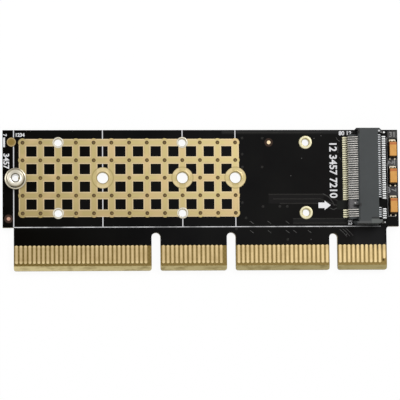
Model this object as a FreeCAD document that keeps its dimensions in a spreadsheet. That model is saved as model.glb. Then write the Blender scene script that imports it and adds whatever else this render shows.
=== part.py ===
import FreeCAD, Part

import os

import Sketcher

# A card that carries a solid-state drive module flat on its face and plugs into a long
# expansion slot. The card lies on its rear face: X along the edge connector, Y from the
# edge connector to the free long edge, Z up out of the component face. The origin is the
# middle of the card's outline, on the plane of the rear contacts. Sizes are in millimetres.

document = FreeCAD.newDocument("adapter_card")

SIZES = {
    # laminate and the outline of the card
    "card_height": 31.8,
    "board_length": 89.55,
    "body_depth": 22.0,
    "left_shoulder": 2.5,
    "right_shoulder": 2.85,
    "laminate": 1.5,
    "foil": 0.05,
    "tongue_corner": 0.5,
    "shoulder_fillet": 0.75,
    "bevel_run": 1.05,
    "bevel_drop": 0.35,
    "notch_width": 2.05,
    "notch_depth": 8.55,
    "notch_shift": 0.33,
    "key_width": 1.9,
    "key_depth": 8.25,
    # edge contacts
    "contact_pitch": 1.0,
    "key_gap": 3.0,
    "key_pin": 11,
    "tongue_margin": 0.6,
    "contact_width": 0.7,
    "contact_rise": 1.6,
    "contact_length": 4.1,
    "contact_stub": 0.9,
    # ground grid that lies under the module
    "grid_margin": 2.0,
    "grid_pitch": 4.0,
    "grid_columns": 13,
    "grid_rows": 5,
    "grid_bar": 1.65,
    "module_axis_drop": 10.85,
    "module_ring": 2.4,
    # holes and their copper rings
    "heatsink_hole": 0.9,
    "heatsink_ring": 1.25,
    "heatsink_first": 8.0,
    "heatsink_spacing_x": 28.0,
    "hole_spacing_y": 16.0,
    "module_hole": 1.28,
    "outer_hole": 0.85,
    "outer_ring": 1.5,
    "outer_place": 64.0,
    # module places, counted from the line of the longest module's screw
    "place_sixty": 20.0,
    "place_forty_two": 38.0,
    "place_thirty": 50.0,
    "standoff_shift": 0.4,
    "standoff_drop": 0.15,
    # soldered standoff
    "standoff_hole": 1.45,
    "standoff_land": 2.25,
    "standoff_flange": 2.42,
    "standoff_boss": 2.1,
    "standoff_face": 1.75,
    "standoff_spigot": 1.4,
    "standoff_spigot_length": 1.4,
    "standoff_thread": 0.8,
    "standoff_mouth": 1.0,
    "standoff_rise": 2.45,
    "standoff_step": 0.5,
    "standoff_bevel": 0.35,
    # module socket
    "socket_place": 79.4,
    "socket_length": 21.6,
    "socket_height": 4.2,
    "slot_length": 19.9,
    "lip_length": 19.3,
    "slot_floor": 2.25,
    "slot_roof": 3.35,
    "slot_depth": 1.05,
    "slot_lead": 0.25,
    "lip_reach": 3.85,
    "cover_reach": 1.9,
    "rear_face": 2.65,
    "cover_chamfer": 0.3,
    "wing_front": 2.75,
    "wing_rear": 3.45,
    "wing_chamfer": 0.5,
    "wing_recess_floor": 1.2,
    "wing_recess_wall": 0.4,
    "key_rib": 0.95,
    "key_place": 6.125,
    "groove_width": 0.26,
    "lower_groove_floor": 1.0,
    "lower_groove_end": 0.6,
    "upper_groove_end": 1.65,
    "upper_groove_roof": 3.78,
    # socket contacts
    "pin_pitch": 0.5,
    "pin_width": 0.2,
    "pin_metal": 0.15,
    "pin_slant": 0.18,
    "odd_first": 9.25,
    "even_first": 9.0,
    "pins_above_key": 29,
    "odd_after_key": 5,
    "even_after_key": 4,
    "foot_reach": 4.8,
    "lower_bend": 1.6,
    "lower_bump": 0.4,
    "lower_bump_height": 2.62,
    "lower_tip": 0.35,
    "lower_tip_height": 2.35,
    "upper_heel": 3.95,
    "upper_knee": 3.3,
    "upper_knee_height": 3.43,
    "upper_shoulder": 3.05,
    "upper_beam": 3.73,
    "upper_bump": 0.9,
    "upper_bump_height": 3.12,
    "upper_tip": 1.5,
    "upper_tip_height": 3.42,
    # solder tabs of the socket
    "tab_metal": 0.2,
    "tab_width": 0.5,
    "tab_reach": 4.7,
    "tab_height": 1.6,
    "tab_place": 10.3,
    # moulded capacitors
    "capacitor_length": 3.3,
    "capacitor_width": 1.7,
    "capacitor_gap": 0.12,
    "capacitor_mould": 1.5,
    "capacitor_draft": 4.0,
    "capacitor_edge": 1.23,
    "capacitor_top_one": 4.53,
    "capacitor_top_two": 10.61,
    "capacitor_top_three": 17.35,
    "terminal_metal": 0.12,
    "terminal_clear": 0.06,
    "terminal_width": 1.2,
    "terminal_foot": 0.8,
    # bare copper marks
    "fiducial_radius": 0.42,
    "fiducial_left": 1.35,
    "fiducial_low": 1.95,
    "fiducial_column": 55.65,
    "round_pad": 1.03,
    "round_pad_left": 0.5,
    "round_pad_rise": 8.15,
    # printed legend
    "ink": 0.02,
    "line_width": 0.28,
    "base_line_drop": 0.05,
    "base_line_end": 1.3,
    "arrow_start": 68.8,
    "arrow_length": 2.8,
    "arrow_head": 1.4,
    "arrow_drop": 6.35,
    "arrow_half": 1.05,
    "arrow_shaft": 0.62,
}

sheet = document.addObject("Spreadsheet::Sheet", "sizes")
for row, (alias, number) in enumerate(SIZES.items(), start=1):
    sheet.set(f"A{row}", alias)
    sheet.set(f"B{row}", str(number))
    sheet.setAlias(f"B{row}", alias)
document.recompute()

# Places worked out from the sheet, as expressions.
RIGHT_EDGE = "(sizes.board_length / 2)"
TOP_EDGE = "(sizes.card_height / 2)"
SHOULDER = f"({TOP_EDGE} - sizes.body_depth)"
BOTTOM_EDGE = f"(-{TOP_EDGE})"
TONGUE_LEFT = f"(-{RIGHT_EDGE} + sizes.left_shoulder)"
TONGUE_RIGHT = f"({RIGHT_EDGE} - sizes.right_shoulder)"
FIRST_PIN = f"({TONGUE_RIGHT} - sizes.tongue_margin)"
BOARD_TOP = "(sizes.foil + sizes.laminate)"
CARD_TOP = "(2 * sizes.foil + sizes.laminate)"
MODULE_AXIS = f"({TOP_EDGE} - sizes.module_axis_drop)"
CONTACT_LOW = f"({BOTTOM_EDGE} + sizes.contact_rise)"
CONTACT_HIGH = f"({CONTACT_LOW} + sizes.contact_length)"
GRID_LEFT = f"({TONGUE_LEFT} + sizes.grid_margin)"
GRID_TOP = f"({MODULE_AXIS} + sizes.grid_pitch * (sizes.grid_rows - 1) / 2)"
GRID_BOTTOM = f"({MODULE_AXIS} - sizes.grid_pitch * (sizes.grid_rows - 1) / 2)"
GRID_RIGHT = f"({GRID_LEFT} + sizes.grid_pitch * (sizes.grid_columns - 1))"
STANDOFF_X = f"({TONGUE_LEFT} + sizes.standoff_shift)"
STANDOFF_Y = f"({MODULE_AXIS} - sizes.standoff_drop)"
ROUND_PAD_Y = f"({MODULE_AXIS} + sizes.round_pad_rise)"
SOCKET_X = f"({TONGUE_LEFT} + sizes.socket_place)"
HEATSINK_COLUMNS = (
    f"({GRID_LEFT} + sizes.heatsink_first)",
    f"({GRID_LEFT} + sizes.heatsink_first + sizes.heatsink_spacing_x)",
)
LOW_ROW = f"({MODULE_AXIS} - sizes.hole_spacing_y / 2)"
HIGH_ROW = f"({MODULE_AXIS} + sizes.hole_spacing_y / 2)"
OUTER_X = f"({GRID_LEFT} + sizes.outer_place)"
MODULE_PLACES = {
    "thirty": f"({TONGUE_LEFT} + sizes.place_thirty)",
    "forty_two": f"({TONGUE_LEFT} + sizes.place_forty_two)",
    "sixty": f"({TONGUE_LEFT} + sizes.place_sixty)",
}


def value(expression):
    return float(document.getObject("sizes").evalExpression(expression))


def new_body(name, x="0", y="0", z="0"):
    """A body whose own origin is put at x, y, z by expressions."""
    body = document.addObject("PartDesign::Body", name)
    body.Label = name
    for axis, place in zip("xyz", (x, y, z)):
        body.setExpression(f"Placement.Base.{axis}", place)
    return body


def origin_feature(body, role):
    return next(part for part in body.Origin.OriginFeatures if part.Role == role)


def new_sketch(body, plane, name, lift="0"):
    """An empty sketch on one of the body's own origin planes, raised by an expression."""
    sketch = body.newObject("Sketcher::SketchObject", name)
    sketch.AttachmentSupport = [(origin_feature(body, plane), "")]
    sketch.MapMode = "FlatFace"
    sketch.setExpression("AttachmentOffset.Base.z", lift)
    return sketch


def fix_point(sketch, geometry, point, x, y):
    """Hold a point of the sketch at distances from its origin that expressions give."""
    for kind, place in (("DistanceX", x), ("DistanceY", y)):
        constraint = Sketcher.Constraint(kind, -1, 1, geometry, point, value(place))
        index = sketch.addConstraint(constraint)
        sketch.setExpression(f"Constraints[{index}]", place)


def draw_outline(sketch, corners):
    """A closed outline of straight edges whose corners are pairs of expressions."""
    spots = [FreeCAD.Vector(value(x), value(y), 0) for x, y in corners]
    edges = [Part.LineSegment(spots[k - 1], spots[k]) for k in range(len(spots))]
    lines = sketch.addGeometry(edges, False)
    for k, line in enumerate(lines):
        sketch.addConstraint(Sketcher.Constraint("Coincident", lines[k - 1], 2, line, 1))
        fix_point(sketch, line, 2, *corners[k])


def draw_rectangle(sketch, left, right, low, high):
    draw_outline(sketch, [(left, low), (right, low), (right, high), (left, high)])


def draw_circle(sketch, x, y, radius):
    centre = FreeCAD.Vector(value(x), value(y), 0)
    normal = FreeCAD.Vector(0, 0, 1)
    circle = sketch.addGeometry(Part.Circle(centre, normal, value(radius)), False)
    fix_point(sketch, circle, 3, x, y)
    index = sketch.addConstraint(Sketcher.Constraint("Radius", circle, value(radius)))
    sketch.setExpression(f"Constraints[{index}]", radius)


def pad(body, sketch, length, middle=False, draft=None):
    feature = body.newObject("PartDesign::Pad", f"{sketch.Name}_pad")
    feature.Profile = sketch
    feature.setExpression("Length", length)
    feature.SideType = "Symmetric" if middle else "One side"
    if draft:
        feature.setExpression("TaperAngle", draft)
    return feature


def pocket(body, sketch):
    """Cut the sketch through the whole body, both ways from its plane."""
    feature = body.newObject("PartDesign::Pocket", f"{sketch.Name}_cut")
    feature.Profile = sketch
    feature.Type = "ThroughAll"
    feature.SideType = "Symmetric"
    return feature


def pocket_span(body, sketch, length):
    """Cut the sketch over a stated length, half of it on each side of its plane."""
    feature = body.newObject("PartDesign::Pocket", f"{sketch.Name}_cut")
    feature.Profile = sketch
    feature.setExpression("Length", length)
    feature.SideType = "Symmetric"
    return feature


def repeat(body, feature, rows):
    """Repeat a feature along one or two of the body's axes: (axis, pitch, count) each."""
    pattern = body.newObject("PartDesign::LinearPattern", f"{feature.Name}_row")
    pattern.Originals = [feature]
    for suffix, (axis, pitch, count) in zip(("", "2"), rows):
        setattr(pattern, f"Direction{suffix}", (origin_feature(body, axis), [""]))
        pattern.setExpression(f"Length{suffix}", f"{pitch} * ({count} - 1)")
        pattern.setExpression(f"Occurrences{suffix}", count)
    body.Tip = pattern
    return pattern


def revolve(body, sketch):
    feature = body.newObject("PartDesign::Revolution", f"{sketch.Name}_turned")
    feature.Profile = sketch
    feature.ReferenceAxis = (sketch, ["V_Axis"])
    feature.Angle = 360
    return feature


def chosen_edges(feature, wanted):
    """Names of the feature's edges that the test picks by their bounding box."""
    document.recompute()
    edges = feature.Shape.Edges
    return [f"Edge{k}" for k, edge in enumerate(edges, start=1) if wanted(edge.BoundBox)]


SAME_PLACE = 1e-4


def near(first, second):
    return abs(first - second) < SAME_PLACE


def upright(box):
    return near(box.XLength, 0) and near(box.YLength, 0)


def round_edges(body, feature, wanted, radius):
    fillet = body.newObject("PartDesign::Fillet", f"{feature.Name}_rounded")
    fillet.Base = (feature, chosen_edges(feature, wanted))
    fillet.setExpression("Radius", radius)
    return fillet


def bevel_edges(body, feature, wanted, size):
    chamfer = body.newObject("PartDesign::Chamfer", f"{feature.Name}_bevelled")
    chamfer.Base = (feature, chosen_edges(feature, wanted))
    chamfer.setExpression("Size", size)
    return chamfer


# ---- circuit board -------------------------------------------------------------------


def pin_x(pin):
    """X of an edge contact. The key gap lies after pin 11, counted from the right."""
    extra = " - (sizes.key_gap - sizes.contact_pitch)" if pin > SIZES["key_pin"] else ""
    return f"({FIRST_PIN} - {pin - 1} * sizes.contact_pitch{extra})"


NOTCHES = (
    (f"({pin_x(11)} - sizes.key_gap / 2)", "sizes.key_width", "sizes.key_depth"),
    (f"({pin_x(34)} + sizes.notch_shift)", "sizes.notch_width", "sizes.notch_depth"),
    (f"({pin_x(51)} + sizes.notch_shift)", "sizes.notch_width", "sizes.notch_depth"),
)


def make_circuit_board():
    body = new_body("circuit_board", z="sizes.foil")
    outline = new_sketch(body, "XY_Plane", "board_outline")
    draw_outline(outline, [
        (f"-{RIGHT_EDGE}", TOP_EDGE),
        (f"-{RIGHT_EDGE}", SHOULDER),
        (TONGUE_LEFT, SHOULDER),
        (TONGUE_LEFT, BOTTOM_EDGE),
        (TONGUE_RIGHT, BOTTOM_EDGE),
        (TONGUE_RIGHT, SHOULDER),
        (RIGHT_EDGE, SHOULDER),
        (RIGHT_EDGE, TOP_EDGE),
    ])
    pad(body, outline, "sizes.laminate")

    sides = new_sketch(body, "XY_Plane", "notch_sides")
    ends = new_sketch(body, "XY_Plane", "notch_ends")
    for centre, width, depth in NOTCHES:
        half = f"({width} / 2)"
        end = f"({BOTTOM_EDGE} + {depth} - {half})"
        draw_rectangle(sides, f"{centre} - {half}", f"{centre} + {half}",
                       f"({BOTTOM_EDGE} - {half})", end)
        draw_circle(ends, centre, end, half)
    pocket(body, sides)
    cut = pocket(body, ends)

    low = value(BOTTOM_EDGE)
    round_edges(body, cut, lambda box: upright(box) and near(box.YMin, low),
                "sizes.tongue_corner")
    inner = value(TONGUE_RIGHT)
    waist = value(SHOULDER)
    round_edges(
        body, body.Tip,
        lambda box: upright(box) and near(box.XMin, inner) and near(box.YMin, waist),
        "sizes.shoulder_fillet")
    document.recompute()

    bevel = new_sketch(body, "YZ_Plane", "edge_bevel")
    for face, away in (("0", "1"), ("sizes.laminate", "-1")):
        draw_outline(bevel, [
            (BOTTOM_EDGE, face),
            (f"({BOTTOM_EDGE} + sizes.bevel_run)", face),
            (BOTTOM_EDGE, f"({face} + {away} * sizes.bevel_drop)"),
        ])
    pocket(body, bevel)

    holes = new_sketch(body, "XY_Plane", "drilled_holes")
    for x in HEATSINK_COLUMNS:
        for y in (LOW_ROW, HIGH_ROW):
            draw_circle(holes, x, y, "sizes.heatsink_hole")
    for y in (LOW_ROW, HIGH_ROW):
        draw_circle(holes, OUTER_X, y, "sizes.outer_hole")
    for x in MODULE_PLACES.values():
        draw_circle(holes, x, MODULE_AXIS, "sizes.module_hole")
    draw_circle(holes, STANDOFF_X, STANDOFF_Y, "sizes.standoff_hole")
    pocket(body, holes)
    return body


# ---- edge contacts -------------------------------------------------------------------


def make_contact_row(name, first, last, rear, short_pins):
    """One group of edge contacts, counted from the right, on one face of the tongue."""
    body = new_body(name, z="0" if rear else BOARD_TOP)
    shape = new_sketch(body, "XY_Plane", f"{name}_shape")
    left = f"({pin_x(last)} - sizes.contact_width / 2)"
    right = f"({pin_x(last)} + sizes.contact_width / 2)"
    draw_rectangle(shape, left, right, CONTACT_LOW, CONTACT_HIGH)
    single = pad(body, shape, "sizes.foil")
    repeat(body, single, [("X_Axis", "sizes.contact_pitch", f"{last - first + 1}")])
    if short_pins:
        ends = new_sketch(body, "XY_Plane", f"{name}_short")
        for pin in short_pins:
            draw_rectangle(ends, f"({pin_x(pin)} - sizes.contact_pitch / 2)",
                           f"({pin_x(pin)} + sizes.contact_pitch / 2)",
                           f"({CONTACT_LOW} - sizes.contact_stub)",
                           f"({CONTACT_LOW} + sizes.contact_stub)")
        pocket(body, ends)
    return body


CONTACT_GROUPS = ((1, 11), (12, 32), (36, 49), (53, 82))
SHORT_PINS = {"front": (1,), "rear": (17, 31, 48, 81)}

# ---- ground grid ---------------------------------------------------------------------


def make_ground_grid():
    """Bare copper bars that cross under the module, widened to a ring at each hole."""
    body = new_body("front_ground_grid", z=BOARD_TOP)
    half = "(sizes.grid_bar / 2)"
    area = new_sketch(body, "XY_Plane", "grid_area")
    draw_rectangle(area, f"({GRID_LEFT} - {half})", f"({GRID_RIGHT} + {half})",
                   f"({GRID_BOTTOM} - {half})", f"({GRID_TOP} + {half})")
    plate = pad(body, area, "sizes.foil")
    round_edges(body, plate, upright, half)

    window = new_sketch(body, "XY_Plane", "grid_window")
    draw_rectangle(window, f"({GRID_LEFT} + {half})",
                   f"({GRID_LEFT} + sizes.grid_pitch - {half})",
                   f"({GRID_BOTTOM} + {half})",
                   f"({GRID_BOTTOM} + sizes.grid_pitch - {half})")
    repeat(body, pocket(body, window), [
        ("X_Axis", "sizes.grid_pitch", "(sizes.grid_columns - 1)"),
        ("Y_Axis", "sizes.grid_pitch", "(sizes.grid_rows - 1)"),
    ])

    spots = [(x, MODULE_AXIS, "sizes.module_ring", "sizes.module_hole")
             for x in MODULE_PLACES.values()]
    spots += [(x, y, "sizes.heatsink_ring", "sizes.heatsink_hole")
              for x in HEATSINK_COLUMNS for y in (LOW_ROW, HIGH_ROW)]
    spots.append((STANDOFF_X, STANDOFF_Y, "sizes.standoff_land", "sizes.standoff_hole"))
    for number, (x, y, ring, _hole) in enumerate(spots):
        land = new_sketch(body, "XY_Plane", f"grid_ring_{number}")
        draw_circle(land, x, y, ring)
        pad(body, land, "sizes.foil")
    holes = new_sketch(body, "XY_Plane", "grid_holes")
    for x, y, _ring, hole in spots:
        draw_circle(holes, x, y, hole)
    pocket(body, holes)
    return body


def make_outer_rings():
    """Copper rings round the two holes that stand clear of the grid."""
    body = new_body("outer_hole_rings", z=BOARD_TOP)
    sketch = new_sketch(body, "XY_Plane", "ring_and_hole")
    draw_circle(sketch, OUTER_X, LOW_ROW, "sizes.outer_ring")
    draw_circle(sketch, OUTER_X, LOW_ROW, "sizes.outer_hole")
    repeat(body, pad(body, sketch, "sizes.foil"), [("Y_Axis", "sizes.hole_spacing_y", "2")])
    return body


# ---- standoff ------------------------------------------------------------------------


def make_standoff():
    """A turned, soldered standoff: spigot, flange, boss with a bevelled top, thread bore."""
    body = new_body("module_standoff", x=STANDOFF_X, y=STANDOFF_Y, z=CARD_TOP)
    profile = new_sketch(body, "XZ_Plane", "standoff_profile")
    top = "(sizes.standoff_rise - sizes.foil)"
    mouth = "(sizes.standoff_mouth - sizes.standoff_thread)"
    draw_outline(profile, [
        ("sizes.standoff_thread", "(-sizes.standoff_spigot_length)"),
        ("sizes.standoff_spigot", "(-sizes.standoff_spigot_length)"),
        ("sizes.standoff_spigot", "0"),
        ("sizes.standoff_flange", "0"),
        ("sizes.standoff_flange", "sizes.standoff_step"),
        ("sizes.standoff_boss", "sizes.standoff_step"),
        ("sizes.standoff_boss", f"({top} - sizes.standoff_bevel)"),
        ("sizes.standoff_face", top),
        ("sizes.standoff_mouth", top),
        ("sizes.standoff_thread", f"({top} - {mouth})"),
    ])
    revolve(body, profile)
    return body


# ---- module socket -------------------------------------------------------------------


def socket_body(name):
    return new_body(name, x=SOCKET_X, y=MODULE_AXIS, z=BOARD_TOP)


def cross_section(body, name, y, corners):
    """A sketch of the socket's cross-section, looking along its length, at a stated Y."""
    sketch = new_sketch(body, "XZ_Plane", name, lift=f"(-({y}))")
    draw_outline(sketch, corners)
    return sketch


def pin_rows(first, after_key):
    """Start and count of the pins on each side of the key, from the end pin's place."""
    return {
        "long": (f"(sizes.{first} - sizes.pin_pitch * (sizes.pins_above_key - 1))",
                 "sizes.pins_above_key"),
        "short": (f"(-sizes.{first})", f"sizes.{after_key}"),
    }


def groove_rows(body, first, after_key, name, left, right, low, high):
    """Cut a groove for each contact of one row, with none where the key stands."""
    corners = [(left, low), (right, low), (right, high), (left, high)]
    for part, (start, count) in pin_rows(first, after_key).items():
        sketch = cross_section(body, f"{name}_{part}", start, corners)
        cut = pocket_span(body, sketch, "sizes.groove_width")
        repeat(body, cut, [("Y_Axis", "sizes.pin_pitch", count)])


def upper_groove_rows(body):
    """Grooves over the upper contacts, which run through the cover and the rear block."""
    groove_rows(body, "odd_first", "odd_after_key", f"{body.Name}_groove",
                "(-sizes.upper_groove_end)", "sizes.rear_face", "sizes.slot_roof",
                "sizes.upper_groove_roof")


def make_socket_housing():
    """Floor, lip, rear block, end wings and key rib: all of the moulding but its cover."""
    body = socket_body("socket_housing")
    base = cross_section(body, "base_section", "0", [
        ("(-sizes.cover_reach)", "0"),
        ("sizes.rear_face", "0"),
        ("sizes.rear_face", "sizes.socket_height"),
        ("sizes.slot_depth", "sizes.socket_height"),
        ("sizes.slot_depth", "sizes.slot_floor"),
        ("(-sizes.cover_reach)", "sizes.slot_floor"),
    ])
    pad(body, base, "sizes.slot_length", middle=True)

    wing_depth = "((sizes.socket_length - sizes.slot_length) / 2)"
    wing_middle = "((sizes.socket_length + sizes.slot_length) / 4)"
    for side in ("", "-"):
        wing = cross_section(body, "end_wing", f"{side}{wing_middle}", [
            ("(-sizes.wing_front)", "0"),
            ("sizes.wing_rear", "0"),
            ("sizes.wing_rear", "sizes.socket_height"),
            ("(-sizes.wing_front)", "sizes.socket_height"),
        ])
        solid = pad(body, wing, wing_depth, middle=True)

    front = value("(-sizes.wing_front)")
    rear = value("sizes.wing_rear")
    reach = value("sizes.socket_length / 2")
    bevel_edges(
        body, solid,
        lambda box: upright(box) and near(abs(box.YMin), reach)
        and (near(box.XMin, front) or near(box.XMin, rear)),
        "sizes.wing_chamfer")
    recess = cross_section(body, "wing_recess", "0", [
        ("(-sizes.wing_front)", "sizes.wing_recess_floor"),
        ("(-sizes.cover_reach)", "sizes.wing_recess_floor"),
        ("(-sizes.cover_reach)", "sizes.socket_height"),
        ("(-sizes.wing_front)", "sizes.socket_height"),
    ])
    pocket_span(body, recess, "(sizes.socket_length - 2 * sizes.wing_recess_wall)")
    lip = cross_section(body, "lip_section", "0", [
        ("(-sizes.lip_reach)", "0"),
        ("(-sizes.cover_reach)", "0"),
        ("(-sizes.cover_reach)", "sizes.slot_floor"),
        ("(-sizes.lip_reach + sizes.slot_lead)", "sizes.slot_floor"),
        ("(-sizes.lip_reach)", "(sizes.slot_floor - sizes.slot_lead)"),
    ])
    pad(body, lip, "sizes.lip_length", middle=True)

    rib = cross_section(body, "key_rib_section", "(-sizes.key_place)", [
        ("(-sizes.lip_reach + 2 * sizes.slot_lead)", "sizes.slot_floor"),
        ("sizes.slot_depth", "sizes.slot_floor"),
        ("sizes.slot_depth", "sizes.slot_roof"),
        ("(-sizes.cover_reach + sizes.slot_lead)", "sizes.slot_roof"),
    ])
    pad(body, rib, "sizes.key_rib", middle=True)
    groove_rows(body, "even_first", "even_after_key", "lower_groove", "(-sizes.lip_reach)",
                "sizes.lower_groove_end", "sizes.lower_groove_floor", "sizes.slot_floor")
    upper_groove_rows(body)
    return body


def make_socket_cover():
    """The upper jaw of the slot, which reaches forward from the rear block."""
    body = socket_body("socket_cover")
    jaw = cross_section(body, "cover_section", "0", [
        ("sizes.slot_depth", "sizes.slot_roof"),
        ("sizes.slot_depth", "sizes.socket_height"),
        ("(-sizes.cover_reach + sizes.cover_chamfer)", "sizes.socket_height"),
        ("(-sizes.cover_reach)", "(sizes.socket_height - sizes.cover_chamfer)"),
        ("(-sizes.cover_reach)", "(sizes.slot_roof + sizes.slot_lead)"),
        ("(-sizes.cover_reach + sizes.slot_lead)", "sizes.slot_roof"),
    ])
    pad(body, jaw, "sizes.slot_length", middle=True)
    upper_groove_rows(body)
    return body


def make_socket_contacts(name, first, after_key, corners):
    """One row of spring contacts: identical pins, with none where the key stands."""
    body = socket_body(name)
    for part, (start, count) in pin_rows(first, after_key).items():
        sketch = cross_section(body, f"{name}_{part}", start, corners)
        pin = pad(body, sketch, "sizes.pin_width", middle=True)
        repeat(body, pin, [("Y_Axis", "sizes.pin_pitch", count)])
    return body


LOWER_CONTACT = [
    ("(-sizes.foot_reach)", "0"),
    ("(-sizes.lip_reach)", "0"),
    ("(-sizes.lip_reach)", "sizes.lower_bend"),
    ("(-sizes.lower_bump)", "(sizes.lower_bump_height - sizes.pin_slant)"),
    ("sizes.lower_tip", "(sizes.lower_tip_height - sizes.pin_metal)"),
    ("sizes.lower_tip", "sizes.lower_tip_height"),
    ("(-sizes.lower_bump)", "sizes.lower_bump_height"),
    ("(-sizes.lip_reach - sizes.pin_metal)", "(sizes.lower_bend + sizes.pin_metal)"),
    ("(-sizes.lip_reach - sizes.pin_metal)", "sizes.pin_metal"),
    ("(-sizes.foot_reach)", "sizes.pin_metal"),
]
UPPER_CONTACT = [
    ("sizes.foot_reach", "0"),
    ("sizes.foot_reach", "sizes.pin_metal"),
    ("sizes.upper_heel", "sizes.pin_metal"),
    ("sizes.upper_knee", "sizes.upper_knee_height"),
    ("sizes.upper_shoulder", "sizes.upper_beam"),
    ("sizes.slot_depth", "sizes.upper_beam"),
    ("(-sizes.upper_bump)", "(sizes.upper_bump_height + sizes.pin_slant)"),
    ("(-sizes.upper_tip)", "sizes.upper_tip_height"),
    ("(-sizes.upper_bump)", "sizes.upper_bump_height"),
    ("sizes.slot_depth", "(sizes.upper_beam - sizes.pin_metal)"),
    ("(sizes.rear_face + sizes.pin_metal)", "(sizes.upper_beam - sizes.pin_metal)"),
    ("(sizes.upper_heel - sizes.pin_slant)", "0"),
]


def make_solder_tabs():
    """Two bent tabs that hold the rear corners of the socket to the board."""
    body = socket_body("socket_solder_tabs")
    tab = cross_section(body, "tab_section", "(-sizes.tab_place)", [
        ("sizes.wing_rear", "0"),
        ("sizes.tab_reach", "0"),
        ("sizes.tab_reach", "sizes.tab_metal"),
        ("(sizes.wing_rear + sizes.tab_metal)", "sizes.tab_metal"),
        ("(sizes.wing_rear + sizes.tab_metal)", "sizes.tab_height"),
        ("sizes.wing_rear", "sizes.tab_height"),
    ])
    single = pad(body, tab, "sizes.tab_width", middle=True)
    repeat(body, single, [("Y_Axis", "2 * sizes.tab_place", "2")])
    return body


# ---- capacitors ----------------------------------------------------------------------

CAPACITORS = {"one": "sizes.capacitor_top_one", "two": "sizes.capacitor_top_two",
              "three": "sizes.capacitor_top_three"}


def make_capacitor_body(number, x, y):
    """A moulded block, its sides drafted away from a parting line at half height."""
    body = new_body(f"capacitor_body_{number}", x=x, y=y, z=BOARD_TOP)
    parting = "(sizes.capacitor_gap + sizes.capacitor_mould / 2)"
    for part in ("upper", "lower"):
        sketch = new_sketch(body, "XY_Plane", f"mould_{part}", lift=parting)
        draw_rectangle(sketch, "(-sizes.capacitor_width / 2)", "(sizes.capacitor_width / 2)",
                       "(-sizes.capacitor_length / 2)", "(sizes.capacitor_length / 2)")
        half = pad(body, sketch, "(sizes.capacitor_mould / 2)",
                   draft="(-sizes.capacitor_draft)")
        half.Reversed = part == "lower"
    return body


def make_capacitor_terminals(number, x, y):
    """Two terminal strips that leave the parting line and fold down and under the block."""
    body = new_body(f"capacitor_terminals_{number}", x=x, y=y, z=BOARD_TOP)
    end = "(sizes.capacitor_length / 2)"
    inside = f"({end} + sizes.terminal_clear)"
    outside = f"({end} + sizes.terminal_clear + sizes.terminal_metal)"
    metal = "sizes.terminal_metal"
    parting = "(sizes.capacitor_gap + sizes.capacitor_mould / 2)"
    for side in ("", "-"):
        sketch = new_sketch(body, "YZ_Plane", "terminal_section")
        draw_outline(sketch, [
            (f"{side}{end}", f"({parting} + {metal} / 2)"),
            (f"{side}{outside}", f"({parting} + {metal} / 2)"),
            (f"{side}{outside}", "0"),
            (f"{side}({end} - sizes.terminal_foot)", "0"),
            (f"{side}({end} - sizes.terminal_foot)", metal),
            (f"{side}{inside}", metal),
            (f"{side}{inside}", f"({parting} - {metal} / 2)"),
            (f"{side}{end}", f"({parting} - {metal} / 2)"),
        ])
        pad(body, sketch, "sizes.terminal_width", middle=True)
    return body


# ---- bare copper marks and printed lines ---------------------------------------------


def make_discs(name, discs):
    body = new_body(name, z=BOARD_TOP)
    sketch = new_sketch(body, "XY_Plane", f"{name}_circles")
    for x, y, radius in discs:
        draw_circle(sketch, x, y, radius)
    pad(body, sketch, "sizes.foil")
    return body


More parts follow.
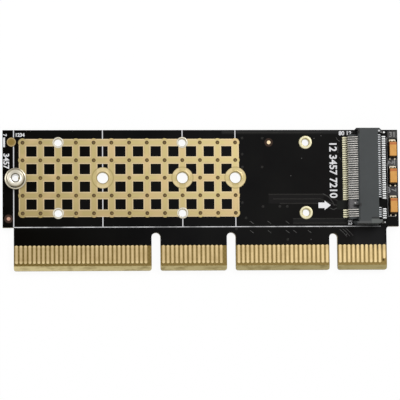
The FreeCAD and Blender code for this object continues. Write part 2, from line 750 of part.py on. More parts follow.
def make_legend():
    """Printed lines at the module lengths, the line along the tongue, and the arrow."""
    body = new_body("front_legend", z=BOARD_TOP)
    sketch = new_sketch(body, "XY_Plane", "legend_lines")
    half = "(sizes.line_width / 2)"
    base = f"({SHOULDER} - sizes.base_line_drop)"

    def upright_line(x, low, high):
        draw_rectangle(sketch, f"({x} - {half})", f"({x} + {half})", low, high)

    bar = "(sizes.grid_bar / 2)"
    sixty = MODULE_PLACES["sixty"]
    forty_two = MODULE_PLACES["forty_two"]
    thirty = MODULE_PLACES["thirty"]
    for x, reach in ((sixty, bar), (forty_two, "sizes.heatsink_ring"), (thirty, bar)):
        upright_line(x, f"({GRID_TOP} + {reach})", TOP_EDGE)
        upright_line(x, f"({base} + {half})", f"({GRID_BOTTOM} - {reach})")
    pitch = "sizes.grid_pitch"
    ring = "sizes.module_ring"
    upright_line(sixty, f"({GRID_TOP} - {pitch} + {bar})", f"({GRID_TOP} - {bar})")
    upright_line(sixty, f"({MODULE_AXIS} + {ring})", f"({GRID_TOP} - {pitch} - {bar})")
    upright_line(sixty, f"({GRID_BOTTOM} + {pitch} + {bar})", f"({MODULE_AXIS} - {ring})")
    upright_line(sixty, f"({GRID_BOTTOM} + {bar})", f"({GRID_BOTTOM} + {pitch} - {bar})")

    upright_line(TONGUE_LEFT, f"({ROUND_PAD_Y} + sizes.round_pad)", TOP_EDGE)
    upright_line(TONGUE_LEFT, f"({STANDOFF_Y} + sizes.standoff_flange)",
                 f"({ROUND_PAD_Y} - sizes.round_pad)")
    upright_line(TONGUE_LEFT, f"({base} + {half})", f"({STANDOFF_Y} - sizes.standoff_flange)")
    draw_rectangle(sketch, TONGUE_LEFT, f"({TONGUE_RIGHT} - sizes.base_line_end)",
                   f"({base} - {half})", f"({base} + {half})")

    start = f"({TONGUE_LEFT} + sizes.arrow_start)"
    neck = f"({start} + sizes.arrow_length - sizes.arrow_head)"
    tip = f"({start} + sizes.arrow_length)"
    middle = f"({MODULE_AXIS} - sizes.arrow_drop)"
    draw_outline(sketch, [
        (start, f"({middle} - sizes.arrow_shaft)"),
        (neck, f"({middle} - sizes.arrow_shaft)"),
        (neck, f"({middle} - sizes.arrow_half)"),
        (tip, middle),
        (neck, f"({middle} + sizes.arrow_half)"),
        (neck, f"({middle} + sizes.arrow_shaft)"),
        (start, f"({middle} + sizes.arrow_shaft)"),
    ])
    pad(body, sketch, "sizes.ink")
    return body


# ---- build and export ----------------------------------------------------------------

nodes = [make_circuit_board(), make_ground_grid()]
for face in ("front", "rear"):
    for first, last in CONTACT_GROUPS:
        short = [pin for pin in SHORT_PINS[face] if first <= pin <= last]
        name = f"{face}_contacts_{first}_to_{last}"
        nodes.append(make_contact_row(name, first, last, face == "rear", short))

nodes.append(make_outer_rings())
nodes.append(make_standoff())
nodes.append(make_socket_housing())
nodes.append(make_socket_cover())
nodes.append(make_socket_contacts("socket_lower_contacts", "even_first", "even_after_key",
                                  LOWER_CONTACT))
nodes.append(make_socket_contacts("socket_upper_contacts", "odd_first", "odd_after_key",
                                  UPPER_CONTACT))
nodes.append(make_solder_tabs())
for number, drop in CAPACITORS.items():
    x = f"({RIGHT_EDGE} - sizes.capacitor_edge)"
    y = f"({TOP_EDGE} - {drop})"
    nodes.append(make_capacitor_body(number, x, y))
    nodes.append(make_capacitor_terminals(number, x, y))
nodes.append(make_discs("fiducials", [
    (f"(-{RIGHT_EDGE} + sizes.fiducial_left)", f"({SHOULDER} + sizes.fiducial_low)",
     "sizes.fiducial_radius"),
    (f"({GRID_LEFT} + sizes.fiducial_column)", HIGH_ROW, "sizes.fiducial_radius"),
]))
nodes.append(make_discs("round_pad", [
    (f"({TONGUE_LEFT} - sizes.round_pad_left)", ROUND_PAD_Y, "sizes.round_pad")]))
nodes.append(make_legend())

document.recompute()
for item in document.Objects:
    if {"Invalid", "Error"} & set(item.State):
        raise RuntimeError(f"{item.Name} failed: {item.State}")
for node in nodes:
    if node.Shape.isNull() or not node.Shape.isValid():
        raise RuntimeError(f"{node.Label} has no valid shape")

os.makedirs("parts", exist_ok=True)
for node in nodes:
    node.Shape.exportStep(f"parts/{node.Label}.step")
    print(node.Label, len(node.Shape.Solids), "solids", round(node.Shape.Volume, 3), "mm3")
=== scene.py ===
import math

import bmesh
import bpy
from mathutils import Euler, Matrix, Vector


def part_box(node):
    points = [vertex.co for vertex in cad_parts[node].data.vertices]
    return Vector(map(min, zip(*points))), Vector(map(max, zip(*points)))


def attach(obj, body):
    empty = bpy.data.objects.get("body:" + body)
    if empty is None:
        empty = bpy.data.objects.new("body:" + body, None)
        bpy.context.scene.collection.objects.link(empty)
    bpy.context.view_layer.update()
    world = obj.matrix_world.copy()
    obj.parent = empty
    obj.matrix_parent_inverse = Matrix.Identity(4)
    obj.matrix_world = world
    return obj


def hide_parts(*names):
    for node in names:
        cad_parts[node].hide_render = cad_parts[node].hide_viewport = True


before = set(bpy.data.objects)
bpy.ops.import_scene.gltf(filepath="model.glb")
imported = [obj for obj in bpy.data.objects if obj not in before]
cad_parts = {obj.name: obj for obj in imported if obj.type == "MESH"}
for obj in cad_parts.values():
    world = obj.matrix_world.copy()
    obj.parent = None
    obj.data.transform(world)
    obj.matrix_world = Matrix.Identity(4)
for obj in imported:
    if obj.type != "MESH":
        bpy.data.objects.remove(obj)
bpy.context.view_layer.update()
mm = 0.001
print("frame loaded:", len(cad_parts), "nodes")

boardLow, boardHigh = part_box("circuit_board")
gridLow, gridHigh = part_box("front_ground_grid")
socketLow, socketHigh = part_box("socket_housing")
standoffLow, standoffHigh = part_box("module_standoff")
ringsLow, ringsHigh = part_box("outer_hole_rings")
firstPinLow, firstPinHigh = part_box("front_contacts_1_to_11")

# Places on the card, in metres. The grid's left column is the datum along X.
place = {
    "boardTop": boardHigh.z,
    "copperTop": gridHigh.z,
    "gridPitch": 4.0 * mm,
    "gridLength": 48 * mm,
    "gridLeft": boardLow.x + 4.5 * mm,
    "gridLow": (gridLow.y + gridHigh.y) / 2 - 8.0 * mm,
    "axisY": (gridLow.y + gridHigh.y) / 2,
    "pinPitch": 1.0 * mm,
    "firstPin": firstPinHigh.x - 0.35 * mm,
    "contactLow": firstPinLow.y,
    "contactHigh": firstPinHigh.y,
    "socketX": socketLow.x + 3.85 * mm,
    "socketY": (socketLow.y + socketHigh.y) / 2,
    "standoffX": (standoffLow.x + standoffHigh.x) / 2,
    "standoffY": (standoffLow.y + standoffHigh.y) / 2,
    "outerX": (ringsLow.x + ringsHigh.x) / 2,
}
lineX = place["gridLeft"] - 2.0 * mm  # line of the longest module's screw
moduleHoles = [(lineX + away * mm, place["axisY"]) for away in (20.0, 38.0, 50.0)]
heatsinkColumns = [place["gridLeft"] + away * mm for away in (8.0, 36.0)]
holeRows = [place["axisY"] - 8.0 * mm, place["axisY"] + 8.0 * mm]


# A place stated from the grid's top left crossing, in millimetres, as a maker reads it.
def fromGrid(x, y, z=0.0):
    return Vector((place["gridLeft"] + x * mm, holeRows[1] + y * mm, z))


# Short ways to lay nodes and join them up.
def addNode(tree, kind, values=None, **settings):
    made = tree.nodes.new(kind)
    for key, setting in settings.items():
        setattr(made, key, setting)
    for key, given in (values or {}).items():
        if isinstance(given, bpy.types.NodeSocket):
            tree.links.new(given, made.inputs[key])
        else:
            made.inputs[key].default_value = given
    return made


def sums(tree, operation, first, second=0.0):
    return addNode(tree, "ShaderNodeMath", {0: first, 1: second}, operation=operation).outputs[0]


def times(tree, first, second):
    return sums(tree, "MULTIPLY", first, second)


def apart(tree, first, second):  # how far two values differ
    return sums(tree, "ABSOLUTE", sums(tree, "SUBTRACT", first, second))


def splitAxes(tree, source):
    return addNode(tree, "ShaderNodeSeparateXYZ", {0: source}).outputs


# Takes a new value into a running smallest or largest one, which is empty at the start.
def keepBest(tree, operation, best, found):
    return found if best is None else sums(tree, operation, best, found)


def blendColour(tree, factor, first, second):
    made = addNode(tree, "ShaderNodeMix", {0: factor, 6: first, 7: second}, data_type="RGBA")
    return made.outputs[2]


def stretch(tree, source, low, high, newLow, newHigh):
    made = addNode(tree, "ShaderNodeMapRange", {0: source, 1: low, 2: high, 3: newLow, 4: newHigh})
    return made.outputs[0]


def noise(tree, coordinates, scale, detail=3.0, rough=0.55):
    made = addNode(tree, "ShaderNodeTexNoise",
                   {"Vector": coordinates, "Scale": scale, "Detail": detail, "Roughness": rough})
    return made.outputs["Fac"]


def shade(red, green, blue):  # 0 to 255 as a screen shows it, to linear light
    steps = []
    for part in (red, green, blue):
        part = part / 255.0
        steps.append(part / 12.92 if part <= 0.04045 else ((part + 0.055) / 1.055) ** 2.4)
    return (*steps, 1.0)


def startMaterial(name, metallic, roughness, specular=0.5):
    made = bpy.data.materials.new(name)
    made.use_nodes = True
    tree = made.node_tree
    shader = tree.nodes["Principled BSDF"]
    shader.inputs["Metallic"].default_value = metallic
    shader.inputs["Roughness"].default_value = roughness
    shader.inputs["Specular IOR Level"].default_value = specular
    where = addNode(tree, "ShaderNodeTexCoord").outputs["Object"]
    return made, tree, shader, where


def bumpBy(tree, shader, height, strength, distance):
    bump = addNode(tree, "ShaderNodeBump",
                   {"Height": height, "Strength": strength, "Distance": distance})
    tree.links.new(bump.outputs["Normal"], shader.inputs["Normal"])


# A finish with patchy colour, a fine grain and uneven gloss, for any plain metal or plastic.
def plainFinish(name, look):
    made, tree, shader, where = startMaterial(name, look["metallic"], look["roughness"],
                                              look.get("specular", 0.5))
    patches = noise(tree, where, look["patchScale"], 4.0)
    colour = blendColour(tree, stretch(tree, patches, 0.3, 0.7, 0.0, 1.0), look["colour"], look["second"])
    if "zones" in look:
        colour = paintZones(tree, splitAxes(tree, where), colour, look["zones"])
    tree.links.new(colour, shader.inputs["Base Color"])
    grain = noise(tree, where, look["grainScale"], 2.0)
    uneven = stretch(tree, grain, 0.0, 1.0, look["roughness"] - look["glossSpread"],
                     look["roughness"] + look["glossSpread"])
    tree.links.new(uneven, shader.inputs["Roughness"])
    bumpBy(tree, shader, grain, look["grainStrength"], look["grainDepth"])
    return made


def grainOf(scale, spread, strength, depth):
    return {"grainScale": scale, "glossSpread": spread, "grainStrength": strength, "grainDepth": depth * mm}


# Grains that several finishes share: scale, spread of the gloss, strength and depth of the relief.
grains = {
    "via": grainOf(4000.0, 0.05, 0.1, 0.01), "plated": grainOf(3000.0, 0.06, 0.2, 0.02),
    "moulded": grainOf(7000.0, 0.07, 0.35, 0.02), "sprung": grainOf(4000.0, 0.07, 0.2, 0.02),
    "solder": grainOf(2600.0, 0.1, 0.3, 0.04), "padSolder": grainOf(2600.0, 0.1, 0.3, 0.03),
    "bare": grainOf(2200.0, 0.05, 0.2, 0.02), "ink": grainOf(5000.0, 0.05, 0.3, 0.01),
    "mask": grainOf(2600.0, 0.05, 0.12, 0.02),
}


# Distance over the card's face to the nearest of some centres.
def awayFromSpots(tree, where, centres):
    flat = addNode(tree, "ShaderNodeVectorMath", {0: where, 1: (1.0, 1.0, 0.0)},
                   operation="MULTIPLY").outputs[0]
    nearest = None
    for x, y in centres:
        gap = addNode(tree, "ShaderNodeVectorMath", {0: flat, 1: (x, y, 0.0)}, operation="DISTANCE")
        nearest = keepBest(tree, "MINIMUM", nearest, gap.outputs["Value"])
    return nearest


# One inside a rectangle stated in millimetres from the grid's corner, fading at its edge.
def zone(tree, split, left, right, low, high, soft=0.12):
    start, stop = fromGrid(left, low), fromGrid(right, high)
    sides = []
    for axis in (0, 1):
        middle, half = (start[axis] + stop[axis]) / 2, (stop[axis] - start[axis]) / 2
        away = apart(tree, split[axis], middle)
        sides.append(stretch(tree, away, half - soft * mm / 2, half + soft * mm / 2, 1.0, 0.0))
    return times(tree, *sides)


def paintZones(tree, split, colour, zones):
    for corners, tone, amount in zones:
        strength = times(tree, zone(tree, split, *corners), amount)
        colour = blendColour(tree, strength, colour, tone)
    return colour


# A finish whose tone steps with the distance from the nearest centre: the rings of turned metal, and painted
# light and shade around holes.
def ringedFinish(name, look, centres):
    made, tree, shader, where = startMaterial(name, look["metallic"], look["roughness"])
    reach = look["tones"][-1][0] * mm
    ramp = addNode(tree, "ShaderNodeValToRGB",
                   {"Fac": stretch(tree, awayFromSpots(tree, where, centres), 0.0, reach, 0.0, 1.0)})
    stops = ramp.color_ramp.elements
    stops[0].position, stops[-1].position = look["tones"][0][0] * mm / reach, 1.0
    stops[0].color, stops[-1].color = look["tones"][0][1], look["tones"][-1][1]
    for radius, tone in look["tones"][1:-1]:
        stops.new(radius * mm / reach).color = tone
    cloud = noise(tree, where, look["patchScale"], 4.0)
    colour = blendColour(tree, stretch(tree, cloud, 0.4, 0.75, 0.0, look["patches"]), ramp.outputs["Color"],
                         look["shadow"])
    tree.links.new(colour, shader.inputs["Base Color"])
    bumpBy(tree, shader, noise(tree, where, 2400.0, 2.0), 0.2, 0.02 * mm)
    return made


# Pieces are plain meshes that ride the one body.
def addPiece(name, mesh, materials=()):
    made = bpy.data.objects.new(name, mesh)
    bpy.context.collection.objects.link(made)
    for given in materials:
        mesh.materials.append(given)
    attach(made, "root")
    return made


def startTree(name, inputs):
    tree = bpy.data.node_groups.new(name, "GeometryNodeTree")
    tree.interface.new_socket(name="Geometry", in_out="INPUT", socket_type="NodeSocketGeometry")
    for label, kind in inputs.items():
        tree.interface.new_socket(name=label, in_out="INPUT", socket_type="NodeSocket" + kind)
    tree.interface.new_socket(name="Geometry", in_out="OUTPUT", socket_type="NodeSocketGeometry")
    return tree, tree.nodes.new("NodeGroupInput").outputs


def endTree(tree, geometry, given):
    real = addNode(tree, "GeometryNodeRealizeInstances", {0: geometry}).outputs[0]
    painted = addNode(tree, "GeometryNodeSetMaterial", {"Geometry": real, "Material": given["Finish"]})
    tree.links.new(painted.outputs[0], tree.nodes.new("NodeGroupOutput").inputs[0])
    return tree


# Runs a tree on a seed mesh and gives back the plain mesh that it grows.
def grow(tree, settings, seed=None):
    source = bpy.data.objects.new("seed", seed or bpy.data.meshes.new("seed"))
    bpy.context.collection.objects.link(source)
    modifier = source.modifiers.new("grow", "NODES")
    modifier.node_group = tree
    for item in tree.interface.items_tree:
        if item.in_out == "INPUT" and item.name in settings:
            modifier[item.identifier] = settings[item.name]
    ready = source.evaluated_get(bpy.context.evaluated_depsgraph_get())
    grown = bpy.data.meshes.new_from_object(ready)
    source.modifiers.remove(modifier)
    bpy.data.objects.remove(source)
    return grown


def pointsMesh(points, edges=()):
    made = bpy.data.meshes.new("points")
    made.from_pydata([tuple(point) for point in points], list(edges), [])
    return made


def joinMeshes(name, meshes):
    shape = bmesh.new()
    materials = []
    for mesh in meshes:
        start = len(shape.faces)
        shape.from_mesh(mesh)
        shape.faces.ensure_lookup_table()
        for face in shape.faces[start:]:
            finish = mesh.materials[face.material_index]
            if finish not in materials:
                materials.append(finish)
            face.material_index = materials.index(finish)
    made = bpy.data.meshes.new(name)
    shape.to_mesh(made)
    shape.free()
    for finish in materials:
        made.materials.append(finish)
    return made


# A row of thin bars with rounded ends, as plating, pads and solder lie on a card.
def barRowTree():
    tree, given = startTree("barRow", {
        "First": "Vector", "Step": "Vector", "Count": "Int", "Width": "Float", "Length": "Float",
        "Thickness": "Float", "Corner": "Float", "Top Scale": "Float", "Short Bar": "Int",
        "Short Length": "Float", "Finish": "Material"})
    line = addNode(tree, "GeometryNodeMeshLine", {"Count": given["Count"], "Start Location": given["First"],
                                                  "Offset": given["Step"]}).outputs[0]
    index = addNode(tree, "GeometryNodeInputIndex").outputs[0]
    isShort = addNode(tree, "FunctionNodeCompare", {2: index, 3: given["Short Bar"]},
                      data_type="INT", operation="EQUAL").outputs[0]
    isLong = addNode(tree, "FunctionNodeBooleanMath", {0: isShort}, operation="NOT").outputs[0]
    rows = []
    for length, chosen in ((given["Length"], isLong), (given["Short Length"], isShort)):
        outline = addNode(tree, "GeometryNodeCurvePrimitiveQuadrilateral",
                          {"Width": given["Width"], "Height": length}).outputs[0]
        rounded = addNode(tree, "GeometryNodeFilletCurve",
                          {"Curve": outline, "Count": 5, "Radius": given["Corner"]}, mode="POLY").outputs[0]
        sheet = addNode(tree, "GeometryNodeFillCurve", {"Curve": rounded}, mode="NGONS").outputs[0]
        raised = addNode(tree, "GeometryNodeExtrudeMesh",
                         {"Mesh": sheet, "Offset Scale": given["Thickness"], "Individual": False})
        drawnIn = addNode(tree, "GeometryNodeScaleElements",
                          {"Geometry": raised.outputs["Mesh"], "Selection": raised.outputs["Top"],
                           "Scale": given["Top Scale"]}).outputs[0]
        under = addNode(tree, "GeometryNodeFlipFaces", {0: sheet}).outputs[0]
        both = addNode(tree, "GeometryNodeJoinGeometry")
        tree.links.new(drawnIn, both.inputs[0])
        tree.links.new(under, both.inputs[0])
        closed = addNode(tree, "GeometryNodeMergeByDistance",
                         {"Geometry": both.outputs[0], "Distance": 1e-7}).outputs[0]
        gap = sums(tree, "SUBTRACT", given["Length"], length)
        lift = addNode(tree, "ShaderNodeCombineXYZ", {1: sums(tree, "MULTIPLY", gap, 0.5)}).outputs[0]
        placed = addNode(tree, "GeometryNodeSetPosition", {"Geometry": closed, "Offset": lift}).outputs[0]
        rows.append(addNode(tree, "GeometryNodeInstanceOnPoints",
                            {"Points": line, "Selection": chosen, "Instance": placed}).outputs[0])
    whole = addNode(tree, "GeometryNodeJoinGeometry")
    for row in rows:
        tree.links.new(row, whole.inputs[0])
    return endTree(tree, whole.outputs[0], given)


# A low round stud on each point: via lands, plugs and dots of solder.
def studTree():
    tree, given = startTree("studField", {
        "Foot": "Float", "Crown": "Float", "Height": "Float", "Sides": "Int", "Finish": "Material"})
    cone = addNode(tree, "GeometryNodeMeshCone",
                   {"Vertices": given["Sides"], "Radius Top": given["Crown"], "Radius Bottom": given["Foot"],
                    "Depth": given["Height"]}, fill_type="NGON").outputs[0]
    placed = addNode(tree, "GeometryNodeInstanceOnPoints",
                     {"Points": given["Geometry"], "Instance": cone}).outputs[0]
    return endTree(tree, placed, given)


# A strip that follows drawn lines: tracks under the mask.
def stripTree():
    tree, given = startTree("trackStrip", {"Width": "Float", "Height": "Float", "Finish": "Material"})
    path = addNode(tree, "GeometryNodeMeshToCurve", {"Mesh": given["Geometry"]}).outputs[0]
    profile = addNode(tree, "GeometryNodeCurvePrimitiveQuadrilateral",
                      {"Width": given["Width"], "Height": given["Height"]}).outputs[0]
    swept = addNode(tree, "GeometryNodeCurveToMesh",
                    {"Curve": path, "Profile Curve": profile, "Fill Caps": True}).outputs[0]
    return endTree(tree, swept, given)


barRow = barRowTree()
studField = studTree()
trackStrip = stripTree()


# A closed turned shape from rings of (radius, height), first and last on the axis or joined as a tube.
def turned(name, rings, centre, sides=48, tube=False):
    shape = bmesh.new()
    loops = []
    for radius, height in rings:
        if radius == 0.0:
            loops.append([shape.verts.new((centre[0], centre[1], height))])
            continue
        loops.append([shape.verts.new((centre[0] + radius * math.cos(math.tau * turn / sides),
                                       centre[1] + radius * math.sin(math.tau * turn / sides), height))
                      for turn in range(sides)])
    pairs = list(zip(loops, loops[1:]))
    if tube:
        pairs.append((loops[-1], loops[0]))
    for lower, upper in pairs:
        for turn in range(sides):
            after = (turn + 1) % sides
            corners = [lower[turn % len(lower)], lower[after % len(lower)],
                       upper[after % len(upper)], upper[turn % len(upper)]]
            shape.faces.new(list(dict.fromkeys(corners)))
    bmesh.ops.recalc_face_normals(shape, faces=shape.faces)
    for face in shape.faces:
        face.smooth = True
    made = bpy.data.meshes.new(name)
    shape.to_mesh(made)
    shape.free()
    return made


# Merges the doubles of a triangulated solid and joins its flat faces, so that its edges can be rounded.
def cleanMesh(made, source):
    shape = bmesh.new()
    shape.from_mesh(source)
    bmesh.ops.remove_doubles(shape, verts=shape.verts, dist=2e-6)
    bmesh.ops.dissolve_limit(shape, angle_limit=math.radians(1.0), verts=shape.verts, edges=shape.edges)
    shape.to_mesh(made)
    shape.free()
    return made


def mergedCopy(name, node):
    return cleanMesh(bpy.data.meshes.new(name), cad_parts[node].data)


def roundEdges(piece, width, segments=2):
    edge = piece.modifiers.new("softEdges", "BEVEL")
    edge.width = width
    edge.segments = segments
    edge.limit_method = "ANGLE"
    edge.angle_limit = math.radians(30)
    edge.use_clamp_overlap = True
    edge.harden_normals = False


# The board: black solder mask, bare laminate between the edge contacts, pale bevels and layered edges.
boardLook = {
    "maskLeft": shade(4, 3, 1), "maskMiddle": shade(9, 9, 10), "maskRight": shade(15, 14, 14),
    "maskRear": shade(10, 10, 9), "maskHaze": shade(24, 24, 22),
    "bareLeft": shade(104, 87, 44), "bareRight": shade(136, 114, 66), "weave": shade(176, 154, 100),
    "bevelNear": shade(200, 184, 134), "bevelFar": shade(204, 190, 146), "bevelRight": shade(152, 140, 98),
    "edgeDark": shade(92, 82, 52), "edgeLight": shade(150, 138, 98),
    "maskEnd": place["contactHigh"] - 0.1 * mm,
    "bevelStart": boardLow.y + 1.05 * mm,
    "hazeStart": boardLow.y + 8.0 * mm, "hazeFull": boardLow.y + 10.5 * mm, "haze": 0.35,
    "roughness": 0.42, "specular": 0.035,
    # covered copper, print, stains and one painted shadow: left, right, low, high and softness of each
    # rectangle, in millimetres from the grid's corner, then its tone and strength
    "zones": [
        ((45.0, 74.6, 2.0, 2.8, 0.4), shade(36, 36, 36), 0.9),
        ((55.5, 68.0, -13.9, -11.9, 0.3), shade(26, 25, 25), 0.9),
        ((71.0, 74.3, -15.3, -13.3, 0.3), shade(30, 31, 29), 0.9),
        ((61.0, 73.6, -18.5, -17.3, 0.3), shade(28, 28, 28), 0.9),
        ((74.5, 82.0, -24.2, -19.6, 1.6), shade(30, 30, 31), 0.7),
        ((82.8, 85.0, 0.9, 2.5, 0.3), shade(84, 83, 82), 0.85),
        ((82.9, 85.0, -5.6, -3.7, 0.3), shade(88, 87, 87), 0.85),
        ((82.9, 85.0, -12.4, -10.0, 0.3), shade(72, 70, 72), 0.85),
        # painted shadow: black in the recess beside the socket's upper wing
        ((74.1, 75.9, 1.6, 2.7, 0.2), shade(0, 0, 0), 1.0),
        ((81.2, 81.6, -27.0, -26.5, 0.3), shade(60, 46, 18), 1.0),
    ],
}


def boardFinish(look):
    made, tree, shader, where = startMaterial("solderMask", 0.0, look["roughness"], look["specular"])
    split = splitAxes(tree, where)
    facing = splitAxes(tree, addNode(tree, "ShaderNodeNewGeometry").outputs["True Normal"])[2]
    flat = sums(tree, "GREATER_THAN", sums(tree, "ABSOLUTE", facing), 0.7)
    cloud = noise(tree, where, 90.0, 4.0)
    # painted reflection: the mask is painted lighter from left to right, for the lamps' reflection in its
    # gloss
    leftPart = stretch(tree, split[0], boardLow.x, 0.0, 0.0, 1.0)
    rightPart = stretch(tree, split[0], 0.0, boardHigh.x * 0.7, 0.0, 1.0)
    mask = blendColour(tree, leftPart, look["maskLeft"], look["maskMiddle"])
    mask = blendColour(tree, rightPart, mask, look["maskRight"])
    front = sums(tree, "GREATER_THAN", split[2], (boardLow.z + boardHigh.z) / 2)
    mask = blendColour(tree, front, look["maskRear"], mask)
    haze = stretch(tree, split[1], look["hazeStart"], look["hazeFull"], 0.0, look["haze"])
    haze = sums(tree, "MAXIMUM", haze, stretch(tree, split[0], boardLow.x, 0.0, 0.0, look["haze"]))
    haze = times(tree, stretch(tree, cloud, 0.35, 0.7, 0.0, 1.0), haze)
    mask = blendColour(tree, haze, mask, look["maskHaze"])
    along = stretch(tree, split[0], boardLow.x, boardHigh.x, 0.0, 1.0)
    # woven glass shows faintly where no mask covers the laminate
    weave = addNode(tree, "ShaderNodeTexChecker", {"Vector": where, "Scale": 2200.0}).outputs["Fac"]
    # painted light: the bare laminate is painted lighter towards the right
    bare = blendColour(tree, along, look["bareLeft"], look["bareRight"])
    bare = blendColour(tree, stretch(tree, weave, 0.0, 1.0, 0.0, 0.12), bare, look["weave"])
    bevel = blendColour(tree, stretch(tree, split[1], boardLow.y, look["bevelStart"], 1.0, 0.0),
                        look["bevelNear"], look["bevelFar"])
    bevel = blendColour(tree, stretch(tree, along, 0.0, 0.7, 0.0, 0.9), bevel, look["bevelRight"])
    drawnOut = addNode(tree, "ShaderNodeMapping", {"Vector": where, "Scale": (1.0, 3.0, 3.0)}).outputs[0]
    stain = noise(tree, drawnOut, 420.0)
    bevel = blendColour(tree, stretch(tree, stain, 0.46, 0.7, 0.0, 0.55), bevel, look["bareLeft"])
    bare = blendColour(tree, sums(tree, "LESS_THAN", split[1], look["bevelStart"]), bare, bevel)
    faces = blendColour(tree, sums(tree, "LESS_THAN", split[1], look["maskEnd"]), mask, bare)
    faces = blendColour(tree, front, faces, paintZones(tree, split, faces, look["zones"]))
    layers = addNode(tree, "ShaderNodeTexWave", {"Vector": where, "Scale": 900.0, "Distortion": 1.5,
                                                 "Detail": 2.0}, bands_direction="Z").outputs["Fac"]
    sides = blendColour(tree, layers, look["edgeDark"], look["edgeLight"])
    tree.links.new(blendColour(tree, flat, sides, faces), shader.inputs["Base Color"])
    tree.links.new(stretch(tree, cloud, 0.2, 0.8, look["roughness"] - 0.06, look["roughness"] + 0.08),
                   shader.inputs["Roughness"])
    tree.links.new(stretch(tree, along, 0.0, 0.5, look["specular"] * 0.3, look["specular"]),
                   shader.inputs["Specular IOR Level"])
    bumpBy(tree, shader, noise(tree, where, 2600.0, 3.0), 0.12, 0.02 * mm)
    return made


def dress(node, finish):
    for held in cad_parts[node].material_slots:
        held.material = finish


maskFinish = boardFinish(boardLook)
dress("circuit_board", maskFinish)
print("board dressed")

# The gold grid: gilded copper with painted highlights as brighter rims beside each window, and a
# tented via on each crossing that is clear of the holes.
gridLook = {
    "left": shade(162, 144, 105), "right": shade(198, 179, 133), "rim": shade(222, 204, 166),
    "middleLeft": shade(158, 146, 94), "middleRight": shade(192, 178, 120),
    "shadow": shade(128, 110, 70), "pink": shade(196, 166, 128),
    "ringTone": shade(178, 163, 116), "ringEdge": shade(120, 106, 62), "holeEdge": shade(112, 98, 58),
    "barHalf": 0.825 * mm, "rimWidth": 0.26 * mm, "ringRadius": 2.4 * mm, "holeRadius": 1.28 * mm,
    "landRadius": 1.0 * mm, "landHeight": 0.05 * mm, "landSink": 0.045 * mm,
    "plugFoot": 0.47 * mm, "plugCrown": 0.4 * mm, "plugRise": 0.02 * mm,
    "coreRadius": 0.22 * mm, "coreShift": 0.07 * mm, "coreRise": 0.03 * mm,
    "columns": 13, "rows": 5, "clearOfModuleHole": 2.2 * mm, "clearOfHeatsinkHole": 1.0 * mm,
    "roughness": 0.34,
}


# Distance to the nearest of a set of evenly spaced lines.
def awayFromLines(tree, source, start, pitch):
    turns = sums(tree, "DIVIDE", sums(tree, "SUBTRACT", source, start), pitch)
    return times(tree, apart(tree, turns, sums(tree, "ROUND", turns)), pitch)


def goldFinish(look):
    made, tree, shader, where = startMaterial("gildedGrid", 1.0, look["roughness"])
    split = splitAxes(tree, where)
    acrossX = awayFromLines(tree, split[0], place["gridLeft"], place["gridPitch"])
    acrossY = awayFromLines(tree, split[1], place["gridLow"], place["gridPitch"])
    inside = sums(tree, "SUBTRACT", look["barHalf"], sums(tree, "MINIMUM", acrossX, acrossY))
    # painted highlight: a brighter rim along the edge of each window
    rim = stretch(tree, inside, 0.0, look["rimWidth"], 1.0, 0.0)
    cloud = noise(tree, where, 160.0, 5.0)
    along = stretch(tree, split[0], boardLow.x, place["gridLeft"] + place["gridLength"], 0.0, 1.0)
    # painted light: the gold is painted lighter towards the right
    gold = blendColour(tree, along, look["left"], look["right"])
    gold = blendColour(tree, stretch(tree, cloud, 0.4, 0.75, 0.0, 0.45), gold, look["shadow"])
    middle = blendColour(tree, along, look["middleLeft"], look["middleRight"])
    gold = blendColour(tree, stretch(tree, inside, 0.3 * mm, 0.65 * mm, 0.0, 0.55), gold, middle)
    pinker = stretch(tree, noise(tree, where, 210.0, 2.0), 0.5, 0.66, 0.0, 0.4)
    gold = blendColour(tree, pinker, gold, look["pink"])
    # painted shade: the gold is darker towards the lower rows, most on the left
    lower = stretch(tree, split[1], holeRows[0] - 1.0 * mm, place["axisY"], 0.4, 0.0)
    lower = times(tree, lower, stretch(tree, along, 0.0, 1.0, 1.0, 0.35))
    gold = blendColour(tree, lower, gold, look["shadow"])
    onBar = sums(tree, "GREATER_THAN", inside, 0.0)
    # gold that lies off the bars, as in the rings, is nearly as bright as a rim: the edge of each via's land
    # takes a painted highlight
    squares = [sums(tree, "POWER", across, 2.0) for across in (acrossX, acrossY)]
    fromVia = sums(tree, "SQRT", sums(tree, "ADD", *squares))
    landRim = stretch(tree, fromVia, look["landRadius"] - 0.2 * mm, look["landRadius"] - 0.05 * mm, 0.0, 0.7)
    landRim = times(tree, landRim, sums(tree, "SUBTRACT", 1.0, onBar))
    gold = blendColour(tree, landRim, gold, look["rim"])
    gold = blendColour(tree, times(tree, times(tree, rim, onBar), 0.6), gold, look["rim"])
    # the rings of the module holes, with a dark line at each edge; the line beside the hole is painted shade
    # at the hole's edge
    away = awayFromSpots(tree, where, moduleHoles)
    ring = stretch(tree, away, look["ringRadius"] - 0.05 * mm, look["ringRadius"], 0.5, 0.0)
    gold = blendColour(tree, ring, gold, look["ringTone"])
    nearEdge = stretch(tree, apart(tree, away, look["ringRadius"]), 0.03 * mm, 0.2 * mm, 0.5, 0.0)
    gold = blendColour(tree, nearEdge, gold, look["ringEdge"])
    nearHole = stretch(tree, away, look["holeRadius"] + 0.06 * mm, look["holeRadius"] + 0.26 * mm, 0.85, 0.0)
    gold = blendColour(tree, nearHole, gold, look["holeEdge"])
    tree.links.new(gold, shader.inputs["Base Color"])
    tree.links.new(stretch(tree, cloud, 0.2, 0.8, look["roughness"] - 0.05, look["roughness"] + 0.1),
                   shader.inputs["Roughness"])
    height = sums(tree, "ADD", times(tree, rim, -0.6), noise(tree, where, 3200.0, 2.0))
    bumpBy(tree, shader, height, 0.18, 0.03 * mm)
    return made


